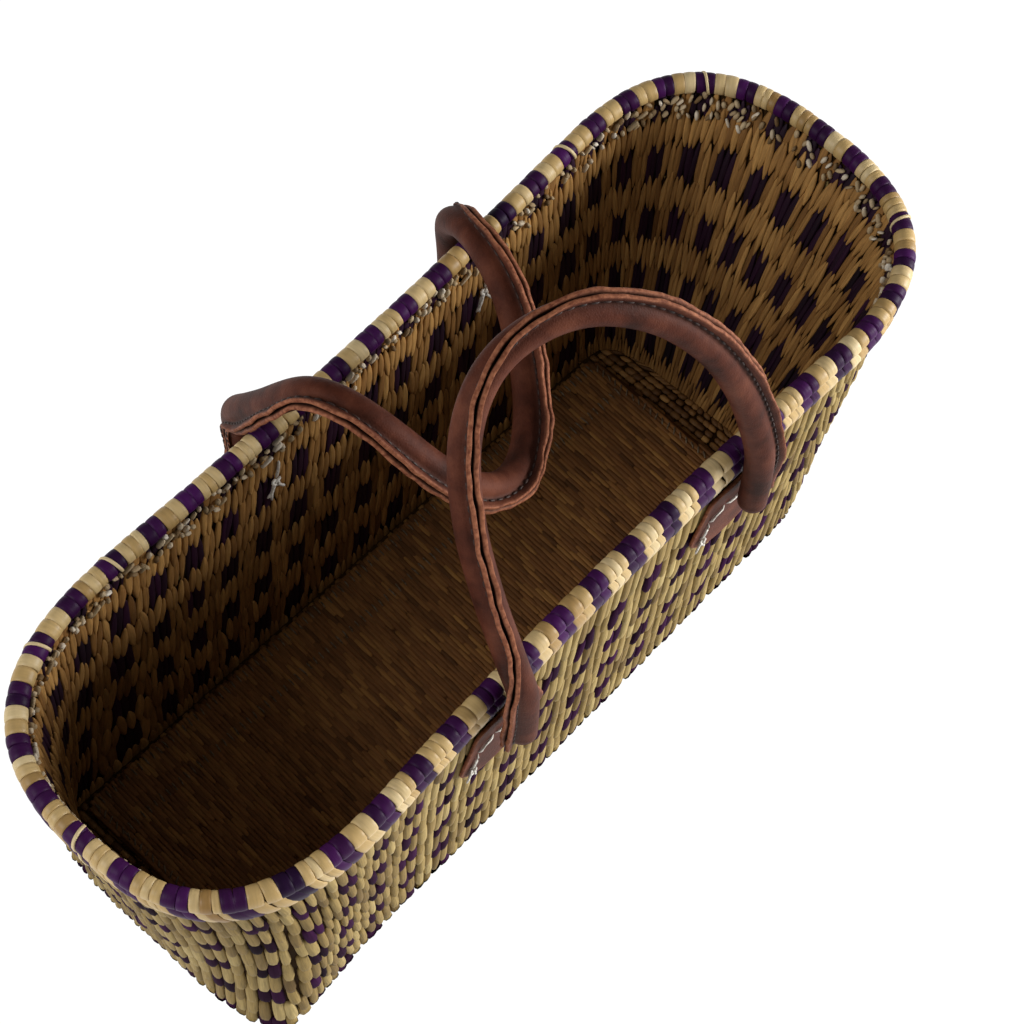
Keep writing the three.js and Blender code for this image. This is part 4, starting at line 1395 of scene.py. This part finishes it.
for name, (side, x) in TABS.items():
    rings = []
    for scale, off, _ in TAB_RINGS:
        shape = np.array(TAB_MIDDLE) + (tab_outline - TAB_MIDDLE) * scale
        rings.append(side_point(side, x + shape[:, 0], HINGE_HEIGHT + shape[:, 1], off))
    faces = tube_faces(len(TAB_RINGS), tab_size)
    add_piece(
        f"{name}_tab_leather", np.concatenate(rings), turned(faces) if side < 0 else faces, handle_leather,
        "basket", "leather", [f"{name}_tab"],
        raw=np.repeat([ring[2] for ring in TAB_RINGS], tab_size),
        groove=np.zeros(tab_size * len(TAB_RINGS)),
    )


# Tab sewing: thick white waxed thread in long stitches across the top of each tab and down its edges,
# ending in a knot at the lower left.
TAB_THREAD_RADIUS = 0.65
TAB_STITCH = 12.5
TAB_STITCH_GAP = 1.4
TAB_STITCH_STEPS = 7
TAB_STITCH_BOWS = (-0.8, 0.8)
TAB_STITCH_DIP = 1.5
TAB_SEWING = (
    (22.0, -24.0), (19.0, -15.0), (15.5, -7.0), (5.0, -7.0),
    (-5.0, -7.0), (-15.5, -7.0), (-19.0, -15.0), (-22.0, -24.0),
)
TAB_KNOT_AT = (-22.0, -25.0)
TAB_KNOT_SIZE = 2.0
TAB_KNOT_LIFT = 1.0
TAB_END_LEANS = (-4.0, 2.5)
TAB_END_DROP = 7
TAB_END_RISE = 0.6
TAB_END_STEPS = 6
END_BELOW_KNOT = 1
KNOT_STEPS = 26
tab_random = np.random.default_rng(113)

# Waxed cotton: off-white, slightly shiny where the wax has been rubbed.
waxed_cotton = thread_material("white_waxed_cotton", "b5aea2", "ece8df", 1.2, {
    "Roughness": 0.5,
    "Specular IOR Level": 0.45,
})


def knot_path(middle, out, size):
    """An overhand knot drawn up tight, standing out from the wall to one side."""
    t = np.linspace(0, 2 * math.pi, KNOT_STEPS)
    loop = np.column_stack([
        np.sin(t) + 2 * np.sin(2 * t),
        (0.9 - 0.6 * np.sin(3 * t)) * out,
        np.cos(t) - 2 * np.cos(2 * t),
    ])
    return middle + size / 3 * loop


sewing = np.array(TAB_SEWING)
sewing_run = np.r_[0, np.cumsum(np.linalg.norm(np.diff(sewing, axis=0), axis=1))]
from_middle = np.linspace(-1, 1, TAB_STITCH_STEPS)
lift = TAB_FRONT + CLEARANCE + TAB_THREAD_RADIUS * (1 - TAB_STITCH_DIP * from_middle ** 6)
for name, (side, x) in TABS.items():
    paths = []
    for start in np.arange(0, sewing_run[-1] - TAB_STITCH / 2, TAB_STITCH + TAB_STITCH_GAP):
        along = np.linspace(start, min(start + TAB_STITCH, sewing_run[-1]), TAB_STITCH_STEPS)
        bow = tab_random.uniform(*TAB_STITCH_BOWS) * (1 - from_middle ** 2)
        a, b = read_along(sewing_run, sewing, along).T
        paths.append(side_point(side, x + a, HINGE_HEIGHT + (b + bow), lift))
    knot_x, knot_z = x + TAB_KNOT_AT[0], HINGE_HEIGHT + TAB_KNOT_AT[1]
    knot_off = TAB_FRONT + TAB_KNOT_LIFT
    paths.append(knot_path(side_point(side, knot_x, knot_z, knot_off), side, TAB_KNOT_SIZE))
    t = np.linspace(0, 1, TAB_END_STEPS)
    for lean in TAB_END_LEANS:
        end_z = knot_z - END_BELOW_KNOT - TAB_END_DROP * t
        paths.append(side_point(side, knot_x + lean * t, end_z, knot_off + TAB_END_RISE * t))
    made, faces = thread_mesh(paths, TAB_THREAD_RADIUS)
    add_piece(
        f"{name}_tab_sewing", made, faces, waxed_cotton, "basket", "waxed_thread", [f"{name}_tab_thread"],
    )


# Tie-offs: the same thread comes through to the inside of the wall, where its two ends are knotted and
# left hanging.
TIE_HALF = 14.0
TIE_GAP = 2.0
TIE_SLOPE = 4
TIE_SWAYS = (0.8, 1.6)
TIE_SWAY_RUN = 5
TIE_RADIUS = 0.8
TIE_OFF = -CLEARANCE - TIE_RADIUS
TIE_STEPS = 8
TIE_KNOT_SIZE = 2.6
TIE_END_LEANS = (-6.0, 5.0)
TIE_END_LENGTHS = (7, 11)
TIE_END_SAG = 0.8
tie_random = np.random.default_rng(127)

t = np.linspace(0, 1, TIE_STEPS)
for name, (side, x) in TABS.items():
    paths = []
    for start, end in ((TIE_HALF, TIE_GAP), (-TIE_GAP, -TIE_HALF)):
        drop = np.linspace(start, end, TIE_STEPS)
        sway = tab_random.uniform(*TIE_SWAYS) * np.sin(drop / TIE_SWAY_RUN)
        paths.append(side_point(side, x + drop / TIE_SLOPE + sway, HINGE_HEIGHT + drop, TIE_OFF))
    for lean in TIE_END_LEANS:
        end_z = HINGE_HEIGHT - END_BELOW_KNOT - tie_random.uniform(*TIE_END_LENGTHS) * t
        paths.append(side_point(side, x + lean * t, end_z, TIE_OFF - TIE_END_SAG * np.sin(math.pi * t)))
    paths.append(knot_path(side_point(side, x, HINGE_HEIGHT, TIE_OFF), -side, TIE_KNOT_SIZE))
    made, faces = thread_mesh(paths, TIE_RADIUS)
    add_piece(
        f"{name}_tie_off_knot", made, faces, waxed_cotton, "basket", "waxed_thread", [f"{name}_tie_off"],
    )
